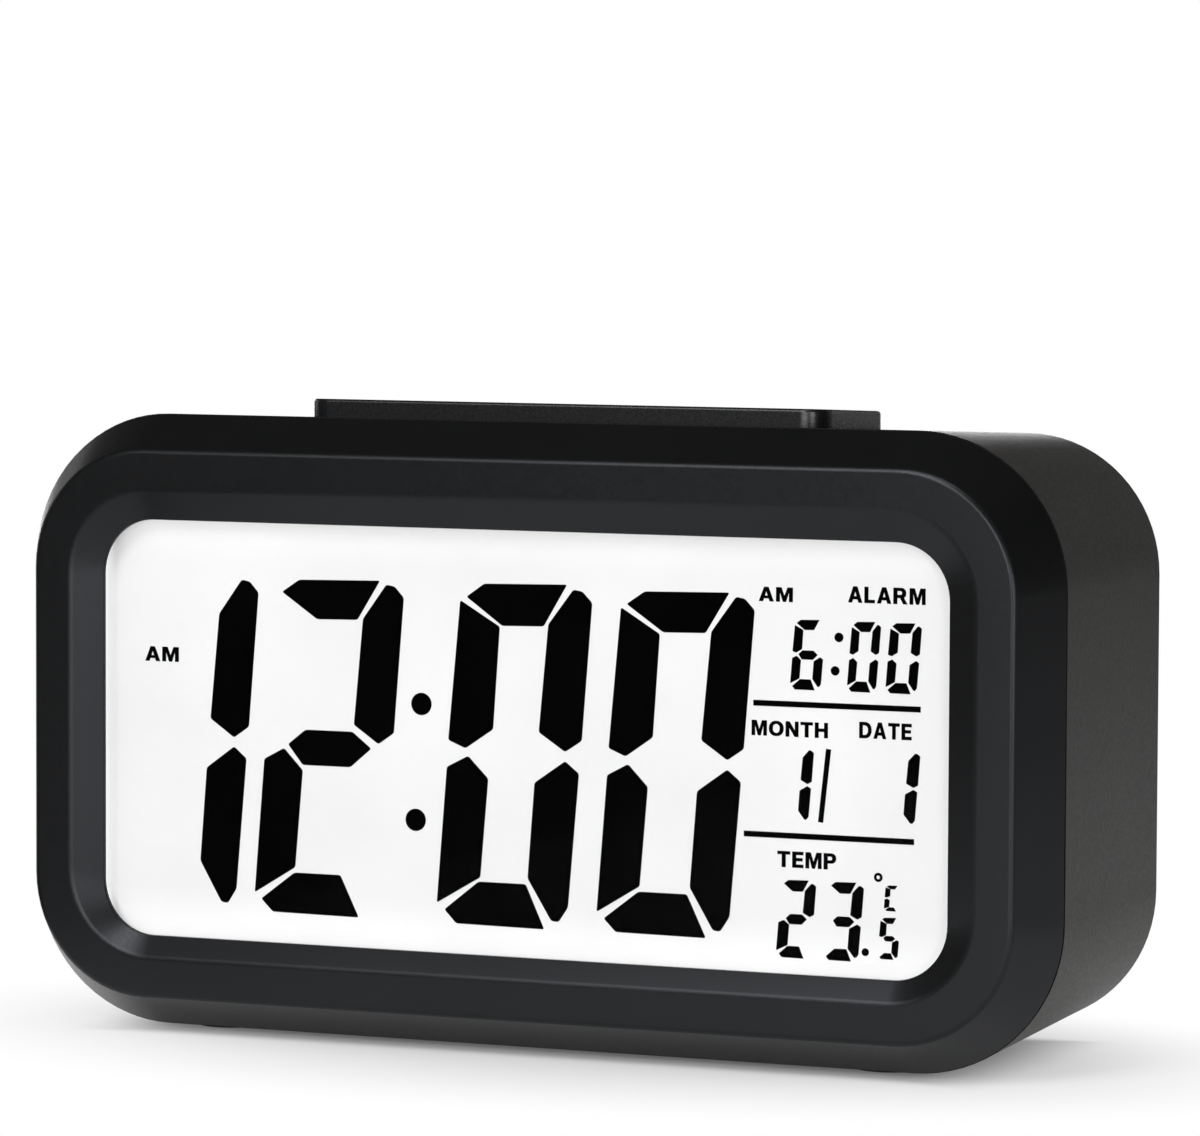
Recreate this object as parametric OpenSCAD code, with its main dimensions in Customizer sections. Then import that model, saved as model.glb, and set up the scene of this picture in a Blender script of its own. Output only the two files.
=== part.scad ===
// Digital travel alarm clock: a sloped front frame round a wide display, a deep rear shell with
// a snooze bar in its top, four keys, a sounder and a battery bay behind a hinged door.
// Every piece is drawn face on, with x to the right, y up and z towards the viewer, and with z = 0
// on the outside of the rear wall. stand() then sets it upright on its feet, face towards -Y.

/* [Case] */
// Width of the case at the crease where front frame and rear shell meet
case_width = 135; // [128:1:150]
// Height of the case at that crease
case_height = 75; // [70:1:90]
// Depth from the front ring to the rear wall
case_depth = 45; // [42:1:60]
// Corner radius of the crease
corner_radius = 18.4; // [16:0.1:20]
// Thickness of the moulded walls
wall = 2; // [1.6:0.1:2.6]
// How far the rear shell draws in on each side from the crease to the rear wall
draft = 1.7; // [0.8:0.1:2.4]
// Rounding of the rear edge
rear_round = 0.6; // [0.4:0.1:1.8]
// Open seam between front frame and rear shell
seam = 0.2; // [0.1:0.05:0.4]

/* [Front frame] */
// Depth of the sloped band from the ring back to the crease
slope_depth = 7.1; // [6.5:0.1:8]
// Inset of the ring's outer edge from the crease
slope_inset = 4; // [3.4:0.1:4.6]
// Width of the flat ring
ring_width = 4.75; // [4:0.05:5.5]
// Width of the bevel that falls from the ring to the window
bevel_width = 3.5; // [2.8:0.1:4]
// Depth of that bevel
bevel_depth = 1.65; // [1.2:0.05:2]
// Edge at the foot of the bevel that the window rests against
lip = 0.5; // [0.4:0.05:0.8]
// Softening of the frame's outer edges
edge_round = 0.45; // [0.2:0.05:0.7]
// Thickness of the tongue that enters the rear shell
tongue = 2.2; // [1.6:0.1:2.6]
// Reach of the tongue behind the crease
tongue_reach = 2.4; // [1.5:0.1:3]

/* [Display] */
// Thickness of the clear window
window_thickness = 1.2; // [0.8:0.1:1.6]
// How far the window reaches behind the lip on each side
window_overlap = 1.6; // [1.2:0.1:2]
// Air between window and glass
window_gap = 0.4; // [0.3:0.05:0.6]
// Thickness of one pane of the display glass
pane_thickness = 1.1; // [0.7:0.1:1.3]
// How far the display glass reaches behind the window opening on each side
glass_overlap = 2.2; // [2:0.1:2.4]
// Width of the contact strips along the top and bottom of the glass
strip_width = 1.4; // [1:0.1:1.6]
// Thickness of the light guide
guide_thickness = 2.5; // [2:0.1:3.5]
// Thickness of the backlight tray's floor
tray_floor = 1.2; // [0.8:0.1:1.6]

/* [Main board] */
// Thickness of the circuit boards
board_thickness = 1.6; // [1:0.1:2]
// Radius of the posts that carry the main board
post_radius = 2.2; // [2:0.1:2.4]
// Height of the posts above and below the middle of the case
post_rise = 10; // [6:0.5:14]
// Radius of the board screws
board_screw_radius = 1.1; // [0.9:0.05:1.3]
// Length of the board screws below their heads
board_screw_length = 5.5; // [4:0.5:6]

/* [Case screws] */
// Radius of the case screws
case_screw_radius = 1.3; // [1:0.05:1.4]
// Length of the case screws below their heads
case_screw_length = 9; // [7:0.5:10]
// Radius of the screw heads
case_head_radius = 2.3; // [2:0.1:2.4]
// Radius of the bosses on the front frame
boss_radius = 2.4; // [2.2:0.1:2.5]
// Depth at which front bosses and rear tubes meet
boss_depth = 15; // [14:0.5:18]
// Inset of the case screws from the crease
screw_inset = 6.8; // [6.7:0.1:7]

/* [Snooze bar] */
// Length of the bar
bar_length = 68.2; // [56:0.1:74]
// Size of the bar from front to rear
bar_width = 21; // [16:0.5:22]
// Depth of the bar's front edge behind the front ring
bar_setback = 14.6; // [14:0.1:16]
// Height of the bar above the wall round it
bar_proud = 2.25; // [1.4:0.05:3.5]
// Corner radius of the bar seen from above
bar_round = 3; // [1:0.1:4]
// Rounding of the bar's upper edges
bar_edge = 0.4; // [0.2:0.05:0.6]
// Wall of the bar
bar_wall = 1.6; // [1.2:0.1:2]
// Travel of the bar when it is pressed
bar_travel = 1.2; // [0.6:0.1:1.6]
// Gap round the bar
bar_fit = 0.4; // [0.25:0.05:0.6]
// Flange that keeps the bar in its opening
bar_flange = 1.6; // [1.2:0.1:2]

/* [Rear keys] */
// Diameter of a key
key_diameter = 8; // [6:0.5:9]
// Distance from key to key
key_pitch = 14; // [13:0.5:15]
// Distance of the row of keys from the top of the crease
key_drop = 15.5; // [15:0.5:17]
// Height of the keys above the rear wall
key_proud = 0.8; // [0.4:0.1:1.5]
// Travel of a key when it is pressed
key_travel = 0.6; // [0.4:0.1:0.9]
// Gap round a key
key_fit = 0.3; // [0.2:0.05:0.5]
// Rounding of a key's rim
key_rim = 0.3; // [0.1:0.05:0.5]
// Depth of the dish in a key
key_dish = 0.25; // [0.1:0.05:0.4]

/* [Battery bay] */
// Diameter of a cell
cell_diameter = 10.5; // [10:0.1:11]
// Length of a cell with its nub
cell_length = 44.5; // [44:0.1:46]
// Room between neighbouring cells
cell_gap = 0.7; // [0.5:0.1:1]
// Length of the springs behind the cells
spring_length = 5; // [4:0.1:6]
// Distance of the bay's middle below the middle of the case
bay_drop = 9; // [8:0.5:10]
// Thickness of the battery door
door_thickness = 2.2; // [2:0.1:2.6]
// Gap round the battery door
door_fit = 0.3; // [0.2:0.05:0.5]
// Radius of the door's hinge pins
pin_radius = 0.6; // [0.5:0.05:0.7]
// Number of grip ridges on the door
grip_count = 5; // [3:1:6]
// Length of the uppermost grip ridge
grip_length = 14; // [12:0.5:24]
// Height of the grip ridges above the door
grip_proud = 0.3; // [0.2:0.05:0.4]

/* [Sounder] */
// Diameter of the sounder disc
sounder_diameter = 25; // [20:0.5:26]
// Radius of a sound hole
sound_hole_radius = 0.9; // [0.6:0.1:1.1]

/* [Leads] */
// Radius of a lead with its sleeve
lead_radius = 0.6; // [0.4:0.05:0.7]
// Width of the ribbon between key board and main board
ribbon_width = 8; // [6:0.5:10]
// Thickness of that ribbon
ribbon_thickness = 0.8; // [0.5:0.1:1.2]

/* [Feet] */
// Diameter of a rubber foot
foot_diameter = 9; // [7:0.5:10]
// Depth of the front feet behind the front ring
foot_setback = 14; // [13:0.5:18]
// Height of the crease above the surface the clock stands on
ground_gap = 0.5; // [0.3:0.1:1]

/* [Hidden] */
$fn = 96;

// Gap between pieces that slide past each other
slide_gap = 0.3;
// Radial gap of a running fit
running_fit = 0.05;
// Gap round a piece that is laid into its place
seat_gap = 0.1;
// Overlap of shapes that are joined or cut
bite = 0.5;

// Centres of the case's corners: every outline of the case is concentric about them
corner_x = case_width / 2 - corner_radius;
corner_y = case_height / 2 - corner_radius;

// Outlines of the front frame, as distances from the corner centres
ring_outer = corner_radius - slope_inset;
ring_inner = ring_outer - ring_width;
window_edge = ring_inner - bevel_width;
window_outer = window_edge + window_overlap;
tongue_outer = corner_radius - wall - slide_gap;
tongue_inner = tongue_outer - tongue;

// Depths behind the front ring, from the window back to the main board
window_front = bevel_depth + lip;
window_rear = window_front + window_thickness;
glass_front = window_rear + window_gap;
glass_middle = glass_front + pane_thickness;
glass_rear = glass_middle + pane_thickness;
tray_inside = glass_rear + guide_thickness + seat_gap;
board_front = tray_inside + tray_floor;
board_rear = board_front + board_thickness;
tongue_end = slope_depth + tongue_reach;

// Half sizes of the display pieces
glass_x = corner_x + window_edge + glass_overlap;
glass_y = corner_y + window_edge + glass_overlap;
strip_y = glass_y - strip_width - seat_gap;
tray_x = glass_x;
tray_y = strip_y - slide_gap;
tray_rim = 2;
guide_x = tray_x - tray_rim - seat_gap;
guide_y = tray_y - tray_rim / 2 - seat_gap;
led_size = [1.6, 5, 2];
led_rise = 12;

// Main board and its posts, which stand beside the glass
post_x = glass_x + slide_gap + post_radius;
board_x = post_x + post_radius;
board_y = glass_y;
board_corner = 8;
board_head_radius = 2;
board_head_height = 1.4;

// Parts on the rear of the main board, set out from its middle and its edges
chip_radius = 6;
chip_height = 1.6;
crystal_radius = 1.5;
crystal_length = 8;
crystal_gap = 12;
crystal_x = chip_radius + crystal_gap;
capacitor_radius = 2.5;
capacitor_height = 7;
capacitor_pitch = 8;
capacitor_gap = 18;
capacitor_inset = 13.5;
capacitor_x = chip_radius + capacitor_gap;
capacitor_y = board_y - capacitor_inset;
thermistor_radius = 1.5;
thermistor_height = 2;
thermistor_end_inset = 16;
thermistor_top_inset = 11.5;
thermistor_x = board_x - thermistor_end_inset;
thermistor_y = board_y - thermistor_top_inset;

// Case screws, their bosses on the front frame and their tubes in the rear shell
tube_wall = 1.3;
tube_radius = case_head_radius + slide_gap + tube_wall;
tube_floor = 2.5;
tube_room = 1;
screw_x = bar_length / 2 + bar_flange + tube_room + tube_radius;
screw_y = case_height / 2 - screw_inset;
head_height = 1.8;
pilot_clearance = 1;

// Snooze bar
bar_rear = bar_setback + bar_width;
flange_thickness = 1.2;
plunger_radius = 1.8;
plunger_room = 0.2;
plunger_depth = bar_setback + bar_wall + plunger_radius + plunger_room;
stem_radius = 1.6;
stem_bite = 0.3;
stem_free = 0.6;
switch_drop = 0.5;
switch_top = board_y - switch_drop;
switch_height = 5;
switch_length = 7;
switch_wall = 1;
snooze_stem_top = switch_top + bar_travel + stem_free;

// Rear keys, from the rear wall inwards
key_y = case_height / 2 - key_drop;
key_radius = key_diameter / 2;
key_flange_width = 1.2;
key_flange_thickness = 1;
key_flange_radius = key_radius + key_flange_width;
key_flange_outer = wall + slide_gap;
key_flange_inner = key_flange_outer + key_flange_thickness;
key_plunger_reach = 0.7;
key_plunger_end = key_flange_inner + key_plunger_reach;
key_dish_margin = 0.8;
key_dish_radius = key_radius - key_dish_margin;
key_dish_ball = (key_dish_radius * key_dish_radius + key_dish * key_dish) / (2 * key_dish);
key_switch_face = key_plunger_end + key_travel + stem_free;
key_switch_size = [6, 6, 3.4];
key_stem_radius = 1.7;
key_board_face = key_switch_face + key_switch_size.z;
key_board_height = 10.4;
key_post_radius = 2.7;
key_post_room = 0.8;
key_post_x = 1.5 * key_pitch + key_flange_radius + key_post_radius + key_post_room;
key_board_x = key_post_x + key_post_radius;

// Battery bay, from the rear wall inwards
cell_radius = cell_diameter / 2;
cell_pitch = cell_diameter + cell_gap;
contact_thickness = 0.4;
contact_inset = 1;
bay_x = (cell_length + spring_length) / 2 + contact_thickness + seat_gap;
bay_y = 1.5 * cell_pitch;
bay_middle = -bay_drop;
bay_ledge = 2;
bay_side = 1.8;
ledge_level = door_thickness + door_fit;
cell_level = ledge_level + slide_gap + cell_radius;
cradle_radius = cell_radius + seat_gap;
bay_floor = cell_level + cradle_radius;
bay_back = 1.4;
bay_end = bay_floor + bay_back;
nub_radius = 1.9;
nub_height = 1;
door_x = bay_x + bay_ledge - door_fit;
door_y = bay_y + bay_ledge - door_fit;
hinge_y = bay_middle - door_y + door_thickness / 2;
hinge_z = door_thickness / 2;
pin_reach = 1;
scoop_radius = 9;
scoop_depth = 1.3;
grip_width = 0.8;
grip_pitch = 1.7;
grip_step = 1;
grip_drop = 3.5;

// Coil springs behind the cells
spring_wire = 0.5;
spring_turns = 4;
spring_base_radius = 3.4;
spring_tip_radius = 2.4;
ring_sides = 6;
rings_per_turn = 10;

// Sounder, midway between the bay and the side wall
sounder_radius = sounder_diameter / 2;
bay_outer = bay_x + bay_ledge + bay_side;
sounder_x = (bay_outer + case_width / 2 - draft - wall) / 2;
sounder_lift = 4;
sounder_y = bay_middle + sounder_lift;
cup_rise = 2.5;
cup_lip = 1.5;
cup_step = wall + cup_rise;
cup_height = cup_step + cup_lip;
cup_wall = 1.2;
cup_ledge = 1.2;
disc_thickness = 0.3;
ceramic_thickness = 0.25;
ceramic_rim = 3.75;
hole_pitch = 3.6;

// Leads: the battery's leave the bay through its ends, the others sway on their way to the main board
lead_bend = 3;
lead_room = 5;
lead_out = bay_outer - bay_x + lead_room;
disc_lead_x = sounder_radius - (ceramic_rim + cup_ledge) / 2;
ribbon_bend = 3.5;
ribbon_x = -key_pitch;
ribbon_drop = 3;

// Feet
foot_radius = foot_diameter / 2;
foot_seat = 0.7;
foot_inset = 1;
foot_x = corner_x - foot_radius - foot_inset;
foot_rear_inset = 7;
foot_rear_depth = case_depth - foot_rear_inset;
floor_y = -case_height / 2 - ground_gap;

// Depth behind the front ring turned into z
function level(depth) = case_depth - depth;

// Distance of the rear shell's outside from the corner centres at a depth
function shell_edge(depth) =
    corner_radius - draft * (depth - slope_depth) / (case_depth - slope_depth);

// Height of the rear shell's outside, at the top, at a depth
function shell_top(depth) = corner_y + shell_edge(depth);

function unit(v) = v / norm(v);

// Arc that rounds the corner between two straight edges
function rounded(before, corner, after, radius, steps = 5) =
    let (
        a = unit(before - corner),
        b = unit(after - corner),
        half = acos(a * b) / 2,
        centre = corner + unit(a + b) * radius / sin(half),
        first = corner + a * radius / tan(half) - centre,
        last = corner + b * radius / tan(half) - centre,
        start = atan2(first.y, first.x),
        turn = atan2(first.x * last.y - first.y * last.x, first * last)
    )
    [for (i = [0:steps]) centre + radius * [cos(start + turn * i / steps), sin(start + turn * i / steps)]];

// Sets the clock upright on the surface, with its face towards -Y
module stand() {
    translate([0, (case_depth - key_proud) / 2, -floor_y]) rotate([90, 0, 0]) children();
}

// Sweeps a profile, drawn as distance from the corner centre and z, round a rounded rectangle
module sweep(x, y) {
    for (i = [0:3]) {
        a = i % 2 == 0 ? x : y;
        b = i % 2 == 0 ? y : x;
        rotate([0, 0, 90 * i]) translate([a, b, 0]) {
            rotate_extrude(angle = 90) children();
            rotate([90, 0, 0]) linear_extrude(2 * b) children();
        }
    }
}

// Flat plate with round corners, given by its half sizes
module plate(x, y, radius, thickness) {
    sweep(x - radius, y - radius) square([radius, thickness]);
    translate([radius - x, radius - y, 0]) cube([2 * (x - radius), 2 * (y - radius), thickness]);
}

// Box given by its half sizes, from one z to another
module box(x, y, low, high) {
    translate([-x, -y, low]) cube([2 * x, 2 * y, high - low]);
}

// Extrudes a profile drawn in z and y along x
module along_x(length) {
    rotate([0, -90, 0]) linear_extrude(length, center = true) children();
}

// Copies to the four corners of a rectangle
module corners(x, y) {
    for (side = [-1, 1], row = [-1, 1]) translate([side * x, row * y, 0]) children();
}

// Screw with its head's underside at z = 0 and its shank towards the viewer
module screw(radius, length, head_r, head_h) {
    cylinder(r = radius, h = length);
    translate([0, 0, -head_h]) cylinder(r = head_r, h = head_h);
}

// Hole for a screw of which a given length enters, open at z = 0
module pilot_hole(radius, length) {
    translate([0, 0, -bite]) cylinder(r = radius + running_fit, h = length + pilot_clearance + bite);
}

// Ring of the front: sloped band, flat ring, bevel, window seat and tongue
module frame_ring() {
    crease = [corner_radius, level(slope_depth)];
    outer = [ring_outer, case_depth];
    inner = [ring_inner, case_depth];
    foot = [window_edge, level(bevel_depth)];
    tongue_root = [tongue_outer, level(slope_depth)];
    profile = concat(
        [foot],
        rounded(foot, inner, outer, edge_round),
        rounded(inner, outer, crease, edge_round),
        rounded(outer, crease, tongue_root, edge_round / 2),
        [
            tongue_root,
            [tongue_outer, level(tongue_end)],
            [tongue_inner, level(tongue_end)],
            [tongue_inner, level(glass_front)],
            [window_outer + seat_gap, level(glass_front)],
            [window_outer + seat_gap, level(window_front)],
            [window_edge, level(window_front)]
        ]
    );
    sweep(corner_x, corner_y) polygon(profile);
}

module front_frame() {
    color("#26282b") stand() difference() {
        union() {
            frame_ring();
            corners(screw_x, screw_y) translate([0, 0, level(boss_depth)])
                cylinder(r = boss_radius, h = boss_depth - glass_front + bite);
            corners(post_x, post_rise) translate([0, 0, level(board_front)])
                cylinder(r = post_radius, h = board_front - glass_front + bite);
        }
        box(glass_x + seat_gap, glass_y + seat_gap, level(tongue_end) - bite, level(glass_front));
        corners(screw_x, screw_y) translate([0, 0, level(boss_depth)])
            pilot_hole(case_screw_radius, case_screw_length - tube_floor);
        corners(post_x, post_rise) translate([0, 0, level(board_front)])
            pilot_hole(board_screw_radius, board_screw_length - board_thickness);
    }
}

module display_window() {
    color("#f4f6f5", 0.4) stand() translate([0, 0, level(window_rear)])
        plate(corner_x + window_outer, corner_y + window_outer, window_outer, window_thickness);
}

module lcd_panel() {
    color("#eef0ee") stand() {
        box(glass_x, glass_y, level(glass_middle), level(glass_front));
        box(glass_x, tray_y, level(glass_rear), level(glass_middle));
    }
}

module light_guide() {
    color("#ffffff", 0.6) stand()
        box(guide_x, guide_y, level(glass_rear + guide_thickness), level(glass_rear));
}

// Room in the backlight tray, open to the glass
module tray_room(x, y) {
    box(x, y, level(tray_inside), level(glass_rear) + bite);
}

module backlight_tray() {
    color("#fafafa") stand() difference() {
        box(tray_x, tray_y, level(board_front), level(glass_rear));
        tray_room(guide_x + seat_gap, guide_y + seat_gap);
        tray_room(guide_x + led_size.x + 2 * seat_gap, led_rise + led_size.y);
    }
}

module backlight_leds() {
    color("#f6f3d8") stand() corners(guide_x + seat_gap + led_size.x / 2, led_rise)
        box(led_size.x / 2, led_size.y / 2, level(tray_inside), level(tray_inside) + led_size.z);
}

module zebra_strips() {
    color("#d8b8b4") stand() for (row = [-1, 1]) translate([0, row * (strip_y + strip_width / 2), 0])
        box(guide_x, strip_width / 2, level(board_front), level(glass_middle));
}

module main_board() {
    color("#2f6b3a") stand() difference() {
        translate([0, 0, level(board_rear)]) plate(board_x, board_y, board_corner, board_thickness);
        corners(post_x, post_rise) translate([0, 0, level(board_rear) - bite])
            cylinder(r = board_screw_radius + seat_gap, h = board_thickness + 2 * bite);
    }
}

// Potted chip: a low dome on the board's rear
module control_chip() {
    ball = (chip_radius * chip_radius + chip_height * chip_height) / (2 * chip_height);
    color("#141414") stand() translate([0, 0, level(board_rear)]) difference() {
        translate([0, 0, ball - chip_height]) sphere(r = ball);
        box(2 * ball, 2 * ball, 0, 2 * ball);
    }
}

module crystal() {
    color("#c8ccd0") stand() translate([crystal_x, 0, level(board_rear) - crystal_radius])
        rotate([0, 90, 0]) cylinder(r = crystal_radius, h = crystal_length);
}

module capacitors() {
    foot = level(board_rear) - capacitor_height;
    color("#20304a") stand() for (side = [-1, 1])
        translate([side * capacitor_pitch / 2 - capacitor_x, -capacitor_y, foot])
            cylinder(r = capacitor_radius, h = capacitor_height);
}

module thermistor() {
    color("#3a3d40") stand() translate([-thermistor_x, thermistor_y, level(board_rear) - thermistor_height])
        cylinder(r = thermistor_radius, h = thermistor_height);
}

module board_screws() {
    color("#b9bcc0") stand() corners(post_x, post_rise) translate([0, 0, level(board_rear)])
        screw(board_screw_radius, board_screw_length, board_head_radius, board_head_height);
}

// Switch under the snooze bar, on the main board's rear, with its stem upwards
module snooze_switch() {
    near = level(plunger_depth) - stem_radius - switch_wall;
    color("#2b2d30") stand() difference() {
        translate([-switch_length / 2, switch_top - switch_height, near])
            cube([switch_length, switch_height, level(board_rear) - near]);
        translate([0, switch_top + bite, level(plunger_depth)]) rotate([90, 0, 0])
            cylinder(r = stem_radius + running_fit, h = bar_travel + stem_free + bite);
    }
}

module snooze_stem() {
    color("#e9e7df") stand() translate([0, snooze_stem_top, level(plunger_depth)]) rotate([90, 0, 0])
        cylinder(r = stem_radius, h = snooze_stem_top - switch_top + stem_bite);
}

// Sloped layer of the snooze bar: lies level with the top wall at a given height above it
function bar_layer(grow, low, high) = [
    [level(bar_rear + grow), shell_top(bar_rear + grow) + low],
    [level(bar_setback - grow), shell_top(bar_setback - grow) + low],
    [level(bar_setback - grow), shell_top(bar_setback - grow) + high],
    [level(bar_rear + grow), shell_top(bar_rear + grow) + high]
];

// Outline of the bar seen from its end, with round upper edges
function bar_side(low) =
    let (corners = bar_layer(0, low, bar_proud))
    concat(
        [corners[0], corners[1]],
        rounded(corners[1], corners[2], corners[3], bar_edge),
        rounded(corners[2], corners[3], corners[0], bar_edge)
    );

// Outline of the bar seen from the front, with round upper edges
function bar_face(low) =
    let (
        corners = [
            [-bar_length / 2, low], [bar_length / 2, low],
            [bar_length / 2, bar_proud], [-bar_length / 2, bar_proud]
        ]
    )
    concat(
        [corners[0], corners[1]],
        rounded(corners[1], corners[2], corners[3], bar_edge),
        rounded(corners[2], corners[3], corners[0], bar_edge)
    );

module snooze_bar() {
    flange_top = -wall - slide_gap;
    flange_low = flange_top - flange_thickness;
    plunger_top = shell_top(plunger_depth) + bar_proud - bar_wall + bite;
    fall = atan(draft / (case_depth - slope_depth));
    color("#232528") stand() {
        difference() {
            union() {
                intersection() {
                    along_x(bar_length) polygon(bar_side(flange_low));
                    translate([0, corner_y, level(bar_setback + bar_width / 2)]) rotate([-90, 0, 0])
                        plate(bar_length / 2, bar_width / 2, bar_round, case_height);
                    translate([0, shell_top(bar_setback), level(bar_setback)]) rotate([-fall, 0, 0])
                        linear_extrude(2 * case_depth, center = true) polygon(bar_face(2 * flange_low));
                }
                along_x(bar_length + 2 * bar_flange) polygon(bar_layer(bar_flange, flange_low, flange_top));
            }
            along_x(bar_length - 2 * bar_wall)
                polygon(bar_layer(-bar_wall, flange_low - bite, bar_proud - bar_wall));
        }
        translate([0, snooze_stem_top, level(plunger_depth)]) rotate([-90, 0, 0])
            cylinder(r = plunger_radius, h = plunger_top - snooze_stem_top);
    }
}

// Outer skin of the rear shell: drafted walls and the rear wall, with a round rear edge
module shell_skin() {
    mouth = [corner_radius, level(slope_depth + seam)];
    heel = [shell_edge(case_depth), 0];
    middle = [0, 0];
    profile = concat(
        [middle],
        rounded(middle, heel, mouth, rear_round),
        [
            mouth,
            mouth - [wall, 0],
            [shell_edge(case_depth - wall) - wall, wall],
            [0, wall]
        ]
    );
    sweep(corner_x, corner_y) polygon(profile);
    box(corner_x, corner_y, 0, wall);
}

// Wall round the sounder, with a step that the disc rests on
module sounder_cup() {
    seat_radius = sounder_radius + seat_gap;
    translate([sounder_x, sounder_y, 0]) difference() {
        translate([0, 0, wall - bite]) cylinder(r = seat_radius + cup_wall, h = cup_height - wall + bite);
        cylinder(r = sounder_radius - cup_ledge, h = cup_step + bite);
        translate([0, 0, cup_step]) cylinder(r = seat_radius, h = cup_height - cup_step + bite);
    }
}

// Rings of sound holes through the rear wall
module sound_holes() {
    translate([sounder_x, sounder_y, -bite]) {
        cylinder(r = sound_hole_radius, h = wall + 2 * bite);
        for (ring = [1:2], i = [0:6 * ring - 1])
            rotate([0, 0, 60 * i / ring]) translate([ring * hole_pitch, 0, 0])
                cylinder(r = sound_hole_radius, h = wall + 2 * bite);
    }
}

// Room for the cells, the contacts at their ends and the door
module bay_room() {
    translate([0, bay_middle, 0]) {
        box(bay_x + bay_ledge, bay_y + bay_ledge, -bite, ledge_level);
        box(bay_x, bay_y, ledge_level - bite, cell_level);
        for (row = [-1:1]) translate([0, row * cell_pitch, cell_level]) rotate([0, 90, 0])
            cylinder(r = cradle_radius, h = 2 * bay_x, center = true);
        for (side = [-1, 1]) translate([side * (bay_x - contact_thickness), 0, 0])
            box(contact_thickness, bay_y, ledge_level, bay_floor);
        translate([0, bay_y + bay_ledge, scoop_depth - scoop_radius]) sphere(r = scoop_radius);
    }
    translate([0, hinge_y, hinge_z]) rotate([0, 90, 0])
        cylinder(r = pin_radius + running_fit, h = 2 * (door_x + pin_reach + door_fit), center = true);
}

// Place of an end terminal, on the bay's left or right end wall, with +x out of the bay
module terminal(side) {
    translate([side * bay_x, bay_middle + side * cell_pitch, cell_level])
        mirror([side < 0 ? 1 : 0, 0, 0]) children();
}

module rear_shell() {
    tube_end = level(boss_depth);
    color("#2b2826") stand() difference() {
        union() {
            shell_skin();
            corners(screw_x, screw_y) translate([0, 0, rear_round])
                cylinder(r = tube_radius, h = tube_end - rear_round);
            translate([0, bay_middle, 0])
                box(bay_outer, bay_y + bay_ledge + bay_side, wall - bite, bay_end);
            for (side = [-1, 1]) translate([side * key_post_x, key_y, wall - bite])
                cylinder(r = key_post_radius, h = key_board_face - wall + bite);
            sounder_cup();
        }
        bay_room();
        for (side = [-1, 1]) terminal(side) rotate([0, 90, 0]) translate([0, 0, -bite])
            cylinder(r = lead_radius + slide_gap, h = bay_outer - bay_x + 2 * bite);
        sound_holes();
        corners(screw_x, screw_y) {
            translate([0, 0, -bite])
                cylinder(r = case_head_radius + slide_gap, h = tube_end - tube_floor + bite);
            cylinder(r = case_screw_radius + seat_gap, h = tube_end + bite);
        }
        for (side = [-1, 1]) translate([side * key_post_x, key_y, key_board_face]) rotate([180, 0, 0])
            pilot_hole(board_screw_radius, board_screw_length - board_thickness);
        for (i = [0:3]) translate([(i - 1.5) * key_pitch, key_y, -bite])
            cylinder(r = key_radius + key_fit, h = wall + 2 * bite);
        translate([0, screw_y, level(bar_setback + bar_width / 2)]) rotate([-90, 0, 0])
            plate(bar_length / 2 + bar_fit, bar_width / 2 + bar_fit, bar_round + bar_fit, case_height);
        for (depth = [foot_setback, foot_rear_depth], side = [-1, 1])
            translate([side * foot_x, foot_seat - shell_top(depth), level(depth)]) rotate([90, 0, 0])
                cylinder(r = foot_radius + seat_gap, h = case_height);
    }
}

module key_board() {
    color("#2f6b3a") stand() difference() {
        translate([0, key_y, key_board_face]) box(key_board_x, key_board_height / 2, 0, board_thickness);
        for (side = [-1, 1]) translate([side * key_post_x, key_y, key_board_face - bite])
            cylinder(r = board_screw_radius + seat_gap, h = board_thickness + 2 * bite);
    }
}

module key_switches() {
    color("#2b2d30") stand() for (i = [0:3]) translate([(i - 1.5) * key_pitch, key_y, 0]) difference() {
        box(key_switch_size.x / 2, key_switch_size.y / 2, key_switch_face, key_board_face);
        translate([0, 0, key_switch_face - bite])
            cylinder(r = key_stem_radius + running_fit, h = key_travel + stem_free + bite);
    }
}

module key_board_screws() {
    color("#b9bcc0") stand() for (side = [-1, 1])
        translate([side * key_post_x, key_y, key_board_face + board_thickness]) rotate([180, 0, 0])
            screw(board_screw_radius, board_screw_length, board_head_radius, board_head_height);
}

// Rear key: a dished round cap with a flange behind the wall and a plunger to its switch
module rear_key(index) {
    middle = [0, -key_proud];
    rim = [key_radius, -key_proud];
    root = [key_radius, key_flange_outer];
    profile = concat(
        [middle],
        rounded(middle, rim, root, key_rim),
        [
            root,
            [key_flange_radius, key_flange_outer],
            [key_flange_radius, key_flange_inner],
            [key_stem_radius, key_flange_inner],
            [key_stem_radius, key_plunger_end],
            [0, key_plunger_end]
        ]
    );
    color("#1d1e20") stand() translate([(index - 1.5) * key_pitch, key_y, 0]) difference() {
        rotate_extrude() polygon(profile);
        translate([0, 0, key_dish - key_proud - key_dish_ball]) sphere(r = key_dish_ball);
    }
}

// Stem of a key's switch
module key_stem(index) {
    color("#e9e7df") stand() translate([(index - 1.5) * key_pitch, key_y, key_plunger_end])
        cylinder(r = key_stem_radius, h = key_switch_face - key_plunger_end + stem_bite);
}

module time_key() { rear_key(0); }
module alarm_key() { rear_key(1); }
module up_key() { rear_key(2); }
module down_key() { rear_key(3); }
module time_stem() { key_stem(0); }
module alarm_stem() { key_stem(1); }
module up_stem() { key_stem(2); }
module down_stem() { key_stem(3); }

module sounder_disc() {
    color("#c9a54a") stand() translate([sounder_x, sounder_y, cup_step])
        cylinder(r = sounder_radius, h = disc_thickness);
}

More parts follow.
